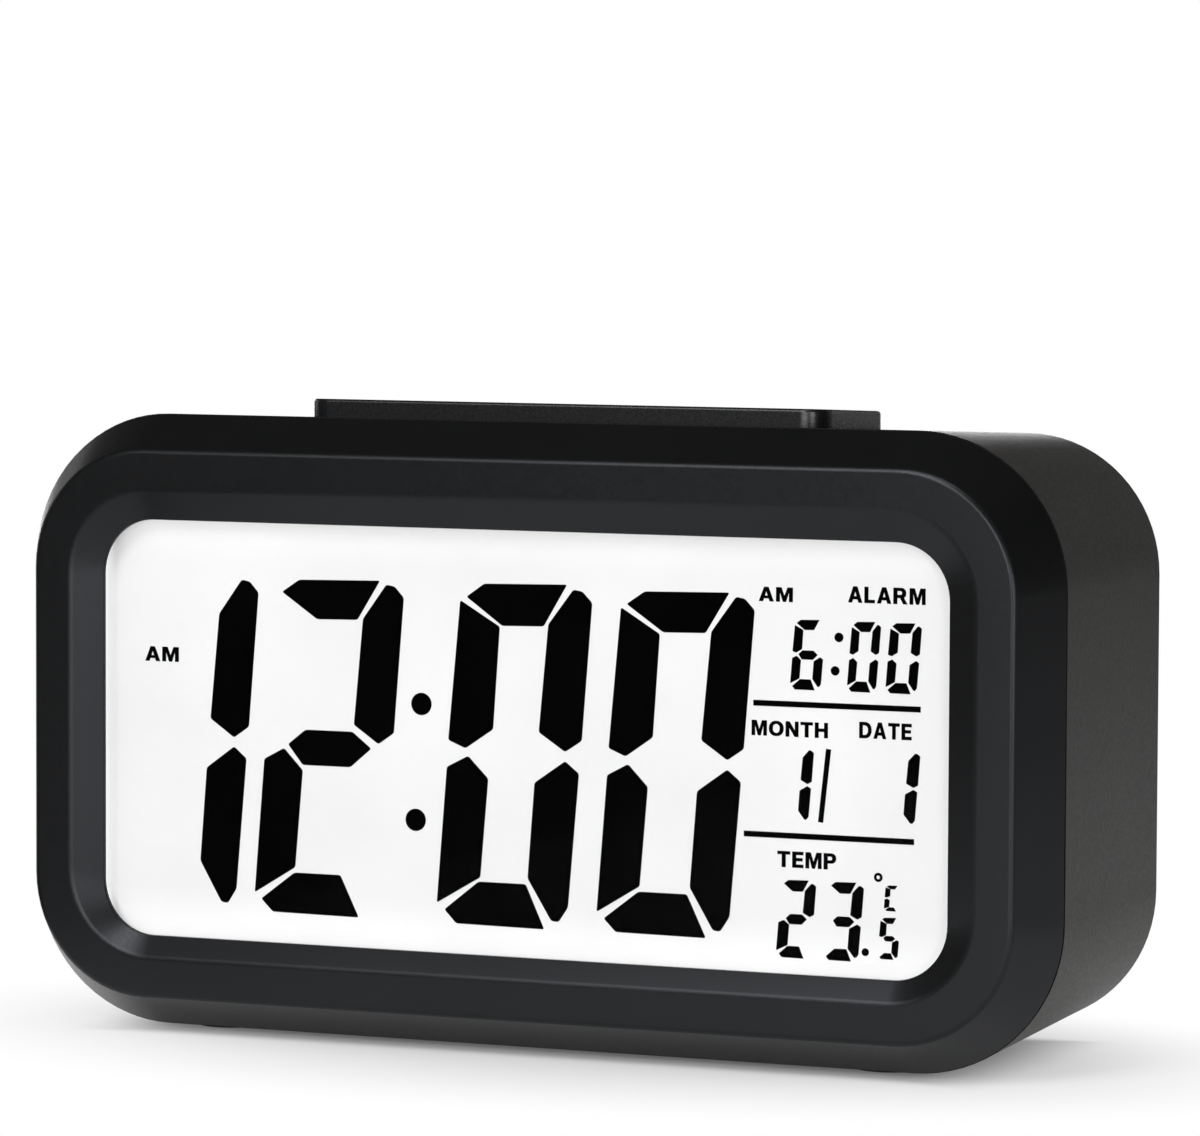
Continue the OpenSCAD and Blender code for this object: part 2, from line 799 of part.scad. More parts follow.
module sounder_ceramic() {
    color("#e6e2d8") stand() translate([sounder_x, sounder_y, cup_step + disc_thickness])
        cylinder(r = sounder_radius - ceramic_rim, h = ceramic_thickness);
}

// Battery door: a plate with grip ridges, whose lower edge is a full round about its hinge pins
module battery_door() {
    top = bay_middle + door_y;
    color("#26282b") stand() {
        translate([-door_x, hinge_y, 0]) cube([2 * door_x, top - hinge_y, door_thickness]);
        for (i = [0:grip_count - 1]) translate([0, top - grip_drop - i * grip_pitch, 0])
            box(grip_length / 2 - i * grip_step, grip_width / 2, -grip_proud, bite);
        translate([0, hinge_y, hinge_z]) rotate([0, 90, 0]) {
            cylinder(r = door_thickness / 2, h = 2 * door_x, center = true);
            cylinder(r = pin_radius, h = 2 * (door_x + pin_reach), center = true);
        }
    }
}

// Cell with its nub at the right, or at the left when turned
module cell(row, turned) {
    color("#8d9196") stand() translate([0, bay_middle + row * cell_pitch, cell_level])
        mirror([turned ? 1 : 0, 0, 0]) translate([bay_x - contact_thickness, 0, 0]) rotate([0, -90, 0]) {
            cylinder(r = nub_radius, h = nub_height + bite);
            translate([0, 0, nub_height]) cylinder(r = cell_radius, h = cell_length - nub_height);
        }
}

module cell_top() { cell(1, false); }
module cell_middle() { cell(0, true); }
module cell_bottom() { cell(-1, false); }

// Centre of a spring's wire, and its rings of points, wound along x from its wide end
function coil_turn(i) = i / rings_per_turn;
function coil_share(i) = coil_turn(i) / spring_turns;
function coil_radius(i) = spring_base_radius + (spring_tip_radius - spring_base_radius) * coil_share(i);
function coil_rise(i) = spring_wire / 2 + (spring_length - spring_wire) * coil_share(i);
function coil_out(i) = [0, cos(360 * coil_turn(i)), sin(360 * coil_turn(i))];
function coil_centre(i) = [coil_rise(i), 0, 0] + coil_radius(i) * coil_out(i);
function coil_side(i, k) =
    let (turn = 360 * k / ring_sides)
    spring_wire / 2 * (cos(turn) * coil_out(i) + sin(turn) * [1, 0, 0]);
coil_rings = spring_turns * rings_per_turn;
coil_points = [
    for (i = [0:coil_rings], k = [0:ring_sides - 1]) coil_centre(i) + coil_side(i, k)
];
coil_faces = concat(
    [for (k = [1:ring_sides - 2]) [0, k, k + 1]],
    [for (k = [1:ring_sides - 2]) [for (n = [k + 1, k, 0]) coil_rings * ring_sides + n]],
    [for (i = [0:coil_rings - 1], k = [0:ring_sides - 1]) let (n = (k + 1) % ring_sides)
        [i * ring_sides + k, (i + 1) * ring_sides + k, (i + 1) * ring_sides + n]],
    [for (i = [0:coil_rings - 1], k = [0:ring_sides - 1]) let (n = (k + 1) % ring_sides)
        [i * ring_sides + k, (i + 1) * ring_sides + n, i * ring_sides + n]]
);
coil_gap = min([
    for (i = [0:coil_rings - rings_per_turn], j = [i + rings_per_turn - 2:coil_rings])
        norm(coil_centre(i) - coil_centre(j))
]) - spring_wire;
echo(coil_gap = coil_gap);

module cell_springs() {
    color("#c4c8cc") stand() for (row = [-1:1]) translate([0, bay_middle + row * cell_pitch, cell_level])
        mirror([row == 0 ? 1 : 0, 0, 0]) translate([contact_thickness - bay_x, 0, 0])
            polyhedron(coil_points, coil_faces);
}

// Contact plates: one for each end terminal, and one across each pair of cells
module cell_contacts() {
    half = cell_radius - contact_inset;
    color("#c4c8cc") stand() for (side = [-1, 1])
        translate([side * (bay_x - contact_thickness / 2), bay_middle, cell_level]) {
            translate([0, side * cell_pitch, 0]) box(contact_thickness / 2, half, -half, half);
            translate([0, -side * cell_pitch / 2, 0])
                box(contact_thickness / 2, half + cell_pitch / 2, -half, half);
        }
}

// Sweeps a flat section through a quarter turn in the plane of x and z, from a start angle on
module quarter_turn(bend, start) {
    rotate([90, 0, 0]) rotate([0, 0, start]) rotate_extrude(angle = 90) translate([bend, 0]) children();
}

// Lead of a battery terminal, from its contact out through the bay's wall and up to the main board
module battery_lead(side) {
    rise = level(board_rear) - cell_level;
    stand() terminal(side) {
        rotate([0, 90, 0]) cylinder(r = lead_radius, h = lead_out - lead_bend);
        translate([lead_out - lead_bend, 0, lead_bend]) quarter_turn(lead_bend, -90) circle(r = lead_radius);
        translate([lead_out, 0, lead_bend]) cylinder(r = lead_radius, h = rise - lead_bend);
    }
}

module battery_lead_plus() { color("#b02a22") battery_lead(1); }
module battery_lead_minus() { color("#1c1c1e") battery_lead(-1); }

// Sweeps a flat section upwards, with two quarter turns halfway that let it sway towards +x
module swaying(rise, bend) {
    straight = rise / 2 - bend;
    linear_extrude(straight) children();
    translate([bend, 0, straight]) quarter_turn(bend, 90) children();
    translate([bend, 0, rise - straight]) quarter_turn(bend, -90) children();
    translate([2 * bend, 0, rise - straight]) linear_extrude(straight) children();
}

// Lead of the sounder, from a place on it up to the main board
module sounder_lead(x, foot) {
    stand() translate([sounder_x + x, sounder_y, foot]) mirror([1, 0, 0])
        swaying(level(board_rear) - foot, lead_bend) circle(r = lead_radius);
}

module sounder_lead_disc() {
    color("#1c1c1e") sounder_lead(disc_lead_x, cup_step + disc_thickness);
}

module sounder_lead_ceramic() {
    color("#b02a22") sounder_lead(0, cup_step + disc_thickness + ceramic_thickness);
}

// Flat ribbon from the key board to the main board
module key_ribbon() {
    foot = key_board_face + board_thickness;
    color("#b9bdc2") stand() translate([ribbon_x, key_y - ribbon_drop, foot]) rotate([0, 0, -90])
        swaying(level(board_rear) - foot, ribbon_bend)
            square([ribbon_thickness, ribbon_width], center = true);
}

module case_screws() {
    color("#b9bcc0") stand() corners(screw_x, screw_y) translate([0, 0, level(boss_depth) - tube_floor])
        screw(case_screw_radius, case_screw_length, case_head_radius, head_height);
}

// Rubber foot, let into the drafted bottom wall and level with the other feet
module foot(side, depth) {
    top = foot_seat - shell_top(depth);
    color("#303234") stand() translate([side * foot_x, top, level(depth)]) rotate([90, 0, 0])
        cylinder(r = foot_radius, h = top - floor_y);
}

module foot_front_left() { foot(-1, foot_setback); }
module foot_front_right() { foot(1, foot_setback); }
module foot_rear_left() { foot(-1, foot_rear_depth); }
module foot_rear_right() { foot(1, foot_rear_depth); }

front_frame();
display_window();
lcd_panel();
light_guide();
backlight_tray();
backlight_leds();
zebra_strips();
main_board();
control_chip();
crystal();
capacitors();
thermistor();
board_screws();
snooze_switch();
snooze_stem();
snooze_bar();
rear_shell();
key_board();
key_switches();
key_board_screws();
time_key();
alarm_key();
up_key();
down_key();
time_stem();
alarm_stem();
up_stem();
down_stem();
sounder_disc();
sounder_ceramic();
battery_door();
cell_top();
cell_middle();
cell_bottom();
cell_springs();
cell_contacts();
key_ribbon();
battery_lead_plus();
battery_lead_minus();
sounder_lead_disc();
sounder_lead_ceramic();
case_screws();
foot_front_left();
foot_front_right();
foot_rear_left();
foot_rear_right();
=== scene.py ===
# %% [markdown]
# # A digital travel alarm clock
# The clock is a black moulded case with a wide white display, a snooze bar in its top, and keys,
# a sounder and a battery door at the back. Its CAD model is loaded as a fixed frame in metres, and
# this lesson dresses it: it softens the mouldings, draws the display and gives each piece a finish.

# %% Load the frame
import math

import bmesh
import bpy
from mathutils import Matrix, Quaternion, Vector


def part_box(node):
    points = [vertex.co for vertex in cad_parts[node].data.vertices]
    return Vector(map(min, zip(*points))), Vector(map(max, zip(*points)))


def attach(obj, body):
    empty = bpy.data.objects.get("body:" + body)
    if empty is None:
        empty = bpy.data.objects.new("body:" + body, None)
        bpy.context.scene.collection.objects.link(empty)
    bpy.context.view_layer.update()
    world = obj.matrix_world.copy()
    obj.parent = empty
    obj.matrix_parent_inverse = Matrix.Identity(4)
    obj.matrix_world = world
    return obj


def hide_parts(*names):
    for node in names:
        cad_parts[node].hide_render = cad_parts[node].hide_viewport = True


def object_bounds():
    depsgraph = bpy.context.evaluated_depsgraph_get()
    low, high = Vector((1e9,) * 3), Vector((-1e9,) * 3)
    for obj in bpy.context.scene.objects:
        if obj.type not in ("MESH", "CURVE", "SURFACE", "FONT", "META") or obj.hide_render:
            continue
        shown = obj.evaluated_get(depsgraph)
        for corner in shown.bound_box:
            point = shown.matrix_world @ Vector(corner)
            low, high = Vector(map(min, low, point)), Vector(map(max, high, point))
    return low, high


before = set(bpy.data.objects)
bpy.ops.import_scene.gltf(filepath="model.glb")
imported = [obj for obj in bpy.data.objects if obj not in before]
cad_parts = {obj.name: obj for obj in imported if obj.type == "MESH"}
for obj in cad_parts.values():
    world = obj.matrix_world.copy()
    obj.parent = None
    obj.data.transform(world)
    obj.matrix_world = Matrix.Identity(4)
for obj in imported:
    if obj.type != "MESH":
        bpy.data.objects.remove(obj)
cad_low, cad_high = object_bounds()
MM = 0.001
scene = bpy.context.scene

# %% [markdown]
# ## Measuring from the face
# A clock is easiest to describe from its face: so far to the right, so far up, and so far behind the
# flat front ring. One helper turns these millimetres into a point of the shared frame, so that every
# later number reads like a measurement on the real clock. UPRIGHT turns what is drawn lying flat, so
# that it faces the viewer.

# %% Points on the face
case_low, case_high = (Vector(corner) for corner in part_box("front_frame"))
FACE_MIDDLE = Vector((0.0, case_low.y, (case_low.z + case_high.z) / 2))
SLOPE_DEPTH = 7.1
CASE_DEPTH = 45.0
DRAFT = 1.7
UPRIGHT = Matrix.Rotation(math.radians(90), 4, "X")


def on_face(x, z, depth):
    """Point of the frame from millimetres right of, above and behind the middle of the front ring."""
    return FACE_MIDDLE + Vector((x, depth, z)) * MM


def draw_in(depth):
    """How far, in millimetres, the drafted shell has drawn in at a depth behind the ring."""
    return DRAFT * (depth - SLOPE_DEPTH) / (CASE_DEPTH - SLOPE_DEPTH)


print("middle of the face:", [round(v / MM, 2) for v in FACE_MIDDLE], "mm")

# %% [markdown]
# ## Camera
# The photograph looks from the right and slightly from above, with a long lens from about 0.7 m.
# The camera is aimed at a point near the middle of the face, then rolled by a quarter of a degree.

# %% Camera
LENS = 185.3
camera_place = on_face(306.48, 67.36, -660.59)
camera_target = on_face(11.91, 20.83, 0)
camera_data = bpy.data.cameras.new("camera")
camera_data.sensor_width = 36
camera_data.sensor_fit = "HORIZONTAL"
camera_data.lens = LENS
camera_data.clip_start = 0.01
camera = bpy.data.objects.new("camera", camera_data)
scene.collection.objects.link(camera)
aim = (camera_target - camera_place).to_track_quat("-Z", "Y")
roll = Quaternion((0, 0, 1), math.radians(0.25))
camera.matrix_world = Matrix.Translation(camera_place) @ (aim @ roll).to_matrix().to_4x4()
scene.camera = camera
scene.view_settings.view_transform = "Standard"
print("camera stands", round((camera_target - camera_place).length, 3), "m away")

# %% [markdown]
# ## Floor and light
# The clock stands on a white table in a white studio. The table glows towards the camera, less round the
# clock and least under it, so that it stays white while the clock's shadow still falls on it. The dip in the
# glow round the clock is also a painted shadow, an oval set a little to the front and right of the clock,
# with a painted shade under the clock itself. The room is plain white where it is seen: straight on, in a
# reflection or through glass. What it gives as soft light is dimmer: most from behind, little from the front
# and the ceiling. So the lamps do the lighting.

# %% Node helpers
def node_of(tree, kind, **settings):
    """Adds a node and sets its properties."""
    node = tree.nodes.new(kind)
    for key, value in settings.items():
        setattr(node, key, value)
    return node


def set_range(node, start, end, least, most):
    """Sets what a Map Range node maps from, start to end, and what it maps to, least to most."""
    for socket, value in (("From Min", start), ("From Max", end), ("To Min", least), ("To Max", most)):
        node.inputs[socket].default_value = value


def seen_rays(tree):
    """Value that is 1 for what the camera sees, also in a reflection or through glass, and else 0."""
    rays = node_of(tree, "ShaderNodeLightPath").outputs
    seen = rays["Is Camera Ray"]
    for kind in ("Is Glossy Ray", "Is Transmission Ray"):
        either = node_of(tree, "ShaderNodeMath", operation="ADD", use_clamp=True)
        tree.links.new(seen, either.inputs[0])
        tree.links.new(rays[kind], either.inputs[1])
        seen = either.outputs["Value"]
    return seen


print("node helpers ready")

# %% White table
TABLE_HALF = Vector((2.0, 0.42))
TABLE_MIDDLE = Vector((0.0, 0.04))
# Painted shadow: an oval, a little to the front and right of the clock, where the table glows less and so
# shows darker. The contact half size below marks a painted shade under the clock.
PAINTED_SHADOW_MIDDLE = (0.004, -0.004, 0)
PAINTED_SHADOW_HALF = (0.0655, 0.039, 1)
CONTACT_HALF = (0.062, cad_high.y, 1)
bm = bmesh.new()
place = Matrix.Translation((*TABLE_MIDDLE, 0)) @ Matrix.Diagonal((*TABLE_HALF, 1, 1))
bmesh.ops.create_grid(bm, x_segments=1, y_segments=1, size=1, matrix=place)
floor_mesh = bpy.data.meshes.new("floor")
bm.to_mesh(floor_mesh)
bm.free()
floor = bpy.data.objects.new("floor", floor_mesh)
scene.collection.objects.link(floor)
print("table of", round(2 * TABLE_HALF.x, 2), "by", round(2 * TABLE_HALF.y, 2), "m")

# %% Glow of the table
white_table = bpy.data.materials.new("white_table")
white_table.use_nodes = True
tree = white_table.node_tree
tree.nodes.clear()
place = node_of(tree, "ShaderNodeTexCoord")
from_middle = node_of(tree, "ShaderNodeVectorMath", operation="SUBTRACT")
in_painted_shadow = node_of(tree, "ShaderNodeVectorMath", operation="DIVIDE")
reach = node_of(tree, "ShaderNodeVectorMath", operation="LENGTH")
in_cases = node_of(tree, "ShaderNodeVectorMath", operation="DIVIDE")
both_ways = node_of(tree, "ShaderNodeVectorMath", operation="ABSOLUTE")
sides = node_of(tree, "ShaderNodeSeparateXYZ")
under = node_of(tree, "ShaderNodeMath", operation="MAXIMUM")
near = node_of(tree, "ShaderNodeMapRange", interpolation_type="SMOOTHSTEP")
far = node_of(tree, "ShaderNodeMapRange", interpolation_type="SMOOTHSTEP")
glow_share = node_of(tree, "ShaderNodeMath", operation="MULTIPLY")
share = node_of(tree, "ShaderNodeMath", operation="MULTIPLY")
paper = node_of(tree, "ShaderNodeBsdfDiffuse")
glow = node_of(tree, "ShaderNodeEmission")
mix = node_of(tree, "ShaderNodeMixShader")
out = node_of(tree, "ShaderNodeOutputMaterial")
from_middle.inputs[1].default_value = PAINTED_SHADOW_MIDDLE
in_painted_shadow.inputs[1].default_value = PAINTED_SHADOW_HALF
in_cases.inputs[1].default_value = CONTACT_HALF
# Painted shade and shadow: near dims the glow most under the clock, far dims it in the oval of the painted
# shadow.
set_range(near, 0.75, 1.0, 0.25, 1.0)
set_range(far, 0.46, 1.5, 0.35, 1.0)
paper.inputs["Color"].default_value = (0.9, 0.9, 0.9, 1)
glow.inputs["Color"].default_value = (1, 1, 1, 1)
glow.inputs["Strength"].default_value = 1.0
tree.links.new(place.outputs["Object"], from_middle.inputs[0])
tree.links.new(from_middle.outputs["Vector"], in_painted_shadow.inputs[0])
tree.links.new(in_painted_shadow.outputs["Vector"], reach.inputs[0])
tree.links.new(reach.outputs["Value"], far.inputs["Value"])
tree.links.new(place.outputs["Object"], in_cases.inputs[0])
tree.links.new(in_cases.outputs["Vector"], both_ways.inputs[0])
tree.links.new(both_ways.outputs["Vector"], sides.inputs["Vector"])
tree.links.new(sides.outputs["X"], under.inputs[0])
tree.links.new(sides.outputs["Y"], under.inputs[1])
tree.links.new(under.outputs["Value"], near.inputs["Value"])
tree.links.new(near.outputs["Result"], glow_share.inputs[0])
tree.links.new(far.outputs["Result"], glow_share.inputs[1])
tree.links.new(seen_rays(tree), share.inputs[0])
tree.links.new(glow_share.outputs["Value"], share.inputs[1])
tree.links.new(share.outputs["Value"], mix.inputs["Fac"])
tree.links.new(paper.outputs["BSDF"], mix.inputs[1])
tree.links.new(glow.outputs["Emission"], mix.inputs[2])
tree.links.new(mix.outputs["Shader"], out.inputs["Surface"])
floor_mesh.materials.append(white_table)
print(white_table.name, "is made of", len(tree.nodes), "nodes")

# %% Studio room
world = bpy.data.worlds.new("studio")
scene.world = world
world.use_nodes = True
tree = world.node_tree
tree.nodes.clear()
place = node_of(tree, "ShaderNodeTexCoord")
split = node_of(tree, "ShaderNodeSeparateXYZ")
walls = node_of(tree, "ShaderNodeMapRange", interpolation_type="SMOOTHSTEP")
ceiling = node_of(tree, "ShaderNodeMapRange", interpolation_type="SMOOTHSTEP")
room = node_of(tree, "ShaderNodeMath", operation="MULTIPLY")
level = node_of(tree, "ShaderNodeMix", data_type="FLOAT")
sky = node_of(tree, "ShaderNodeBackground")
out = node_of(tree, "ShaderNodeOutputWorld")
set_range(walls, -0.2, 0.8, 0.09, 0.42)
set_range(ceiling, 0.1, 0.6, 1.0, 0.08)
tree.links.new(place.outputs["Generated"], split.inputs["Vector"])
tree.links.new(split.outputs["Y"], walls.inputs["Value"])
tree.links.new(split.outputs["Z"], ceiling.inputs["Value"])
tree.links.new(walls.outputs["Result"], room.inputs[0])
tree.links.new(ceiling.outputs["Result"], room.inputs[1])
tree.links.new(seen_rays(tree), level.inputs["Factor"])
tree.links.new(room.outputs["Value"], level.inputs["A"])
level.inputs["B"].default_value = 1.0
sky.inputs["Color"].default_value = (1, 1, 1, 1)
tree.links.new(level.outputs["Result"], sky.inputs["Strength"])
tree.links.new(sky.outputs["Background"], out.inputs["Surface"])
print("studio room made")

# %% Soft lamps
def soft_lamp(name, x, z, depth, wide, high, watts):
    """Soft box, its size in metres, that looks at the middle of the face."""
    lamp = bpy.data.lights.new(name, "AREA")
    lamp.shape = "RECTANGLE"
    lamp.size = wide
    lamp.size_y = high
    lamp.energy = watts
    holder = bpy.data.objects.new(name, lamp)
    spot = on_face(x, z, depth)
    turn = (FACE_MIDDLE - spot).to_track_quat("-Z", "Y")
    holder.matrix_world = Matrix.Translation(spot) @ turn.to_matrix().to_4x4()
    scene.collection.objects.link(holder)
    return holder


soft_lamp("low_lamp", 70, 160, -1290, 0.6, 0.5, 6.2)
soft_lamp("front_lamp", -250, 800, -990, 0.5, 0.75, 10.3)
soft_lamp("overhead_lamp", 150, 1170, -550, 0.4, 0.4, 1.9)
soft_lamp("right_lamp", 820, 0, -1010, 0.4, 0.35, 4.0)
soft_lamp("rear_lamp", -520, 60, 1050, 0.5, 0.35, 4.0)

# %% [markdown]
# ## Cards round the clock
# A black object mirrors a white room from all sides, and would look grey. So photographers set black
# cards round it, and its edges stay crisp. One card stands at each side, one far in front, and one hangs
# above the lamps. Behind the table stands a pale wall, lit only by what the lamps spill, which gives the
# right side of the case its gentle fall from light to dark. All of them are seen only in reflections:
# they hide no view and throw no shadow.

# %% Cards round the clock
ON_EDGE = Matrix.Rotation(math.radians(90), 4, "Y")
LEVEL = Matrix()


def plain_board(name, grey):
    """Matt board of one grey."""
    board = bpy.data.materials.new(name)
    board.use_nodes = True
    board.node_tree.nodes["Principled BSDF"].inputs["Base Color"].default_value = (grey, grey, grey, 1)
    return board


def studio_card(name, board, middle, turn, half_size, foot=0.0):
    """Flat card, in metres, that shows only in reflections. A foot lies on the table towards the clock."""
    bm = bmesh.new()
    place = Matrix.Translation(middle) @ turn @ Matrix.Diagonal((*half_size, 1, 1))
    bmesh.ops.create_grid(bm, x_segments=1, y_segments=1, size=1, matrix=place)
    if foot:
        lowest = [e for e in bm.edges if all(v.co.z < MM for v in e.verts)]
        bmesh.ops.translate(bm, verts=list({v for e in lowest for v in e.verts}), vec=(0, 0, 2 * MM))
        toe = bmesh.ops.extrude_edge_only(bm, edges=lowest)["geom"]
        toe = [v for v in toe if isinstance(v, bmesh.types.BMVert)]
        bmesh.ops.translate(bm, verts=toe, vec=(foot, 0, 0))
    mesh = bpy.data.meshes.new(name)
    bm.to_mesh(mesh)
    bm.free()
    mesh.materials.append(board)
    card = bpy.data.objects.new(name, mesh)
    scene.collection.objects.link(card)
    card.visible_camera = False
    card.visible_diffuse = False
    card.visible_shadow = False
    card.visible_transmission = False
    print(name, "stands at", middle)


card_black = plain_board("card_black", 0.01)
wall_pale = plain_board("wall_pale", 0.9)
studio_card("left_card", card_black, (-0.45, -0.25, 0.3), ON_EDGE, (0.3, 0.25), foot=0.36)
studio_card("right_card", card_black, (0.45, -0.025, 0.3), ON_EDGE, (0.3, 0.225))
studio_card("front_card", card_black, (0, -2.4, 0.2), UPRIGHT, (4.0, 1.3))
studio_card("ceiling_card", card_black, (0, 1.2, 1.5), LEVEL, (4.0, 3.6))
studio_card("rear_wall", wall_pale, (0, 1.2, -0.06), UPRIGHT, (4.0, 0.54))

# %% [markdown]
# ## Finishes
# Moulded plastic is never one flat colour: the tool leaves a fine spark-eroded grain, and the gloss
# wanders a little with it. One helper makes such plastics: clouds of noise for the colour, and a finer
# noise for the grain, which drives both the roughness and a shallow bump. All of it reads Object
# coordinates, in metres, so a grain of 0.3 mm is 0.3 mm on every piece. The snooze bar gets one thing
# more: its top, where the finger rests, is coarser than its sides.

# %% Finish helpers
def start_finish(name):
    """New node material, with its tree and its Principled shader."""
    material = bpy.data.materials.new(name)
    material.use_nodes = True
    tree = material.node_tree
    shader = tree.nodes["Principled BSDF"]
    return material, tree, shader


def noise_of(tree, place, size_mm, detail=2.0, roughness=0.5):
    """Noise whose patches are about size_mm across."""
    noise = node_of(tree, "ShaderNodeTexNoise")
    noise.inputs["Scale"].default_value = 1 / (size_mm * MM)
    noise.inputs["Detail"].default_value = detail
    noise.inputs["Roughness"].default_value = roughness
    tree.links.new(place, noise.inputs["Vector"])
    return noise.outputs["Fac"]


def ramp_of(tree, value, *stops, blend="LINEAR"):
    """Colour ramp through stops of (position, colour)."""
    ramp = node_of(tree, "ShaderNodeValToRGB")
    ramp.color_ramp.interpolation = blend
    while len(ramp.color_ramp.elements) < len(stops):
        ramp.color_ramp.elements.new(0.5)
    for element, (position, colour) in zip(ramp.color_ramp.elements, stops):
        element.position = position
        element.color = (*colour, 1)
    tree.links.new(value, ramp.inputs["Fac"])
    return ramp.outputs["Color"]


def range_of(tree, value, low, high):
    """Turns a noise value of about 0.3 to 0.7 into the range low to high."""
    ranged = node_of(tree, "ShaderNodeMapRange")
    set_range(ranged, 0.3, 0.7, low, high)
    tree.links.new(value, ranged.inputs["Value"])
    return ranged.outputs["Result"]


def bump_of(tree, shader, value, depth_mm, strength=1.0):
    """Shallow relief from a noise value."""
    bump = node_of(tree, "ShaderNodeBump")
    bump.inputs["Strength"].default_value = strength
    bump.inputs["Distance"].default_value = depth_mm * MM
    tree.links.new(value, bump.inputs["Height"])
    tree.links.new(bump.outputs["Normal"], shader.inputs["Normal"])


def grained(name, dark, light, grain_mm=0.35, cloud_mm=14, relief_mm=0.006, gloss=(0.28, 0.36), metal=0.0,
            shine=0.3, tint=(1.0, 1.0, 1.0)):
    """Moulded or drawn surface: cloudy colour, fine grain, and a roughness that follows the grain."""
    material, tree, shader = start_finish(name)
    place = node_of(tree, "ShaderNodeTexCoord").outputs["Object"]
    clouds = noise_of(tree, place, cloud_mm, detail=4)
    grain = noise_of(tree, place, grain_mm, detail=3, roughness=0.6)
    tree.links.new(ramp_of(tree, clouds, (0.3, dark), (0.7, light)), shader.inputs["Base Color"])
    tree.links.new(range_of(tree, grain, *gloss), shader.inputs["Roughness"])
    bump_of(tree, shader, grain, relief_mm)
    shader.inputs["Metallic"].default_value = metal
    shader.inputs["Specular IOR Level"].default_value = shine
    shader.inputs["Specular Tint"].default_value = (*tint, 1)
    return material


def dress(finish, *nodes):
    """Gives CAD nodes a finish."""
    for node in nodes:
        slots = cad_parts[node].data.materials
        slots.clear()
        slots.append(finish)


print("finish helpers ready")

# %% Plastics of the case
frame_black = grained("frame_black", (0.0047, 0.0048, 0.0049), (0.0060, 0.0061, 0.0063), shine=0.27,
                      tint=(0.88, 0.92, 1.0))
shell_black = grained("shell_black", (0.0118, 0.0101, 0.0083), (0.0150, 0.0129, 0.0106),
                      grain_mm=0.45, relief_mm=0.012, gloss=(0.38, 0.48), shine=0.11, tint=(1.0, 0.98, 0.95))
bar_black = grained("bar_black", (0.0056, 0.0058, 0.0065), (0.0072, 0.0075, 0.0084), gloss=(0.24, 0.32),
                    shine=0.42)
key_black = grained("key_black", (0.0075, 0.0076, 0.0082), (0.0100, 0.0101, 0.0108), gloss=(0.48, 0.58))
foot_rubber = grained("foot_rubber", (0.020, 0.020, 0.021), (0.034, 0.034, 0.036), grain_mm=0.6,
                      relief_mm=0.03, gloss=(0.72, 0.86))
print("plastics:", frame_black.name, shell_black.name, bar_black.name, key_black.name, foot_rubber.name)

# %% Coarser top of the bar
tree = bar_black.node_tree
roughness = tree.nodes["Principled BSDF"].inputs["Roughness"]
split = node_of(tree, "ShaderNodeSeparateXYZ")
upward = node_of(tree, "ShaderNodeMapRange")
coarser = node_of(tree, "ShaderNodeMath", operation="ADD")
set_range(upward, 0.5, 0.9, 0.0, 0.25)
tree.links.new(node_of(tree, "ShaderNodeNewGeometry").outputs["Normal"], split.inputs["Vector"])
tree.links.new(split.outputs["Z"], upward.inputs["Value"])
tree.links.new(roughness.links[0].from_socket, coarser.inputs[0])
tree.links.new(upward.outputs["Result"], coarser.inputs[1])
tree.links.new(coarser.outputs["Value"], roughness)
print("the bar's roughness comes from", roughness.links[0].from_node.name)

# %% [markdown]
# ## Making a piece
# Every piece ends the same way: doubles are merged, faces turned outwards, smooth shading is cut at
# sharp edges, the piece is told which body it rides on and gets its finish, and the CAD nodes that it
# stands for are hidden. One helper does that, so the cells below can think about shape alone.

# %% Piece helper
def make_piece(name, bm, body, finish, stands_for=(), sharp=35):
    """Turns a bmesh into a named piece that rides on a body."""
    bmesh.ops.remove_doubles(bm, verts=bm.verts, dist=0.0005 * MM)
    bmesh.ops.recalc_face_normals(bm, faces=bm.faces)
    mesh = bpy.data.meshes.new(name)
    bm.to_mesh(mesh)
    bm.free()
    if "custom_normal" in mesh.attributes:
        mesh.attributes.remove(mesh.attributes["custom_normal"])
    mesh.shade_smooth()
    mesh.set_sharp_from_angle(angle=math.radians(sharp))
    mesh.materials.append(finish)
    piece = bpy.data.objects.new(name, mesh)
    scene.collection.objects.link(piece)
    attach(piece, body)
    if stands_for:
        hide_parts(*stands_for)
    print(name, "rides on", body, "with", len(mesh.polygons), "faces")
    return piece


def flat_normals(piece):
    """Lets the large faces keep their own direction, so that only the fillets bend the light."""
    weighted = piece.modifiers.new("flat_faces", "WEIGHTED_NORMAL")
    weighted.keep_sharp = True


print("piece helper ready")

# %% [markdown]
# ## Front frame
# The front is one moulding: a flat ring round the display, a short bevel that falls to the window,
# and a long slope that runs back to the crease, where the rear shell begins. Every edge of it is a
# rounded rectangle at its own depth. So each edge is drawn as a plate whose corners are bevelled, and
# neighbouring edges are bridged into bands. A bevel along the ring's edges then gives the soft line of
# light that a moulded edge has. The bosses for screws and the posts for the board behind it are turned.

# %% Rounded rectangle loops
CORNER_STEPS = 16


def round_square(bm, place, radius, steps):
    """Edges of a square that a matrix puts into its place and size, with round corners."""
    earlier, earlier_faces = set(bm.edges), set(bm.faces)
    corners = bmesh.ops.create_grid(bm, x_segments=1, y_segments=1, size=1, matrix=place)["verts"]
    bmesh.ops.bevel(bm, geom=corners, offset=radius * MM, offset_type="OFFSET", segments=steps,
                    profile=0.5, affect="VERTICES", material=-1)
    bmesh.ops.delete(bm, geom=[f for f in bm.faces if f not in earlier_faces], context="FACES_ONLY")
    return [e for e in bm.edges if e not in earlier]


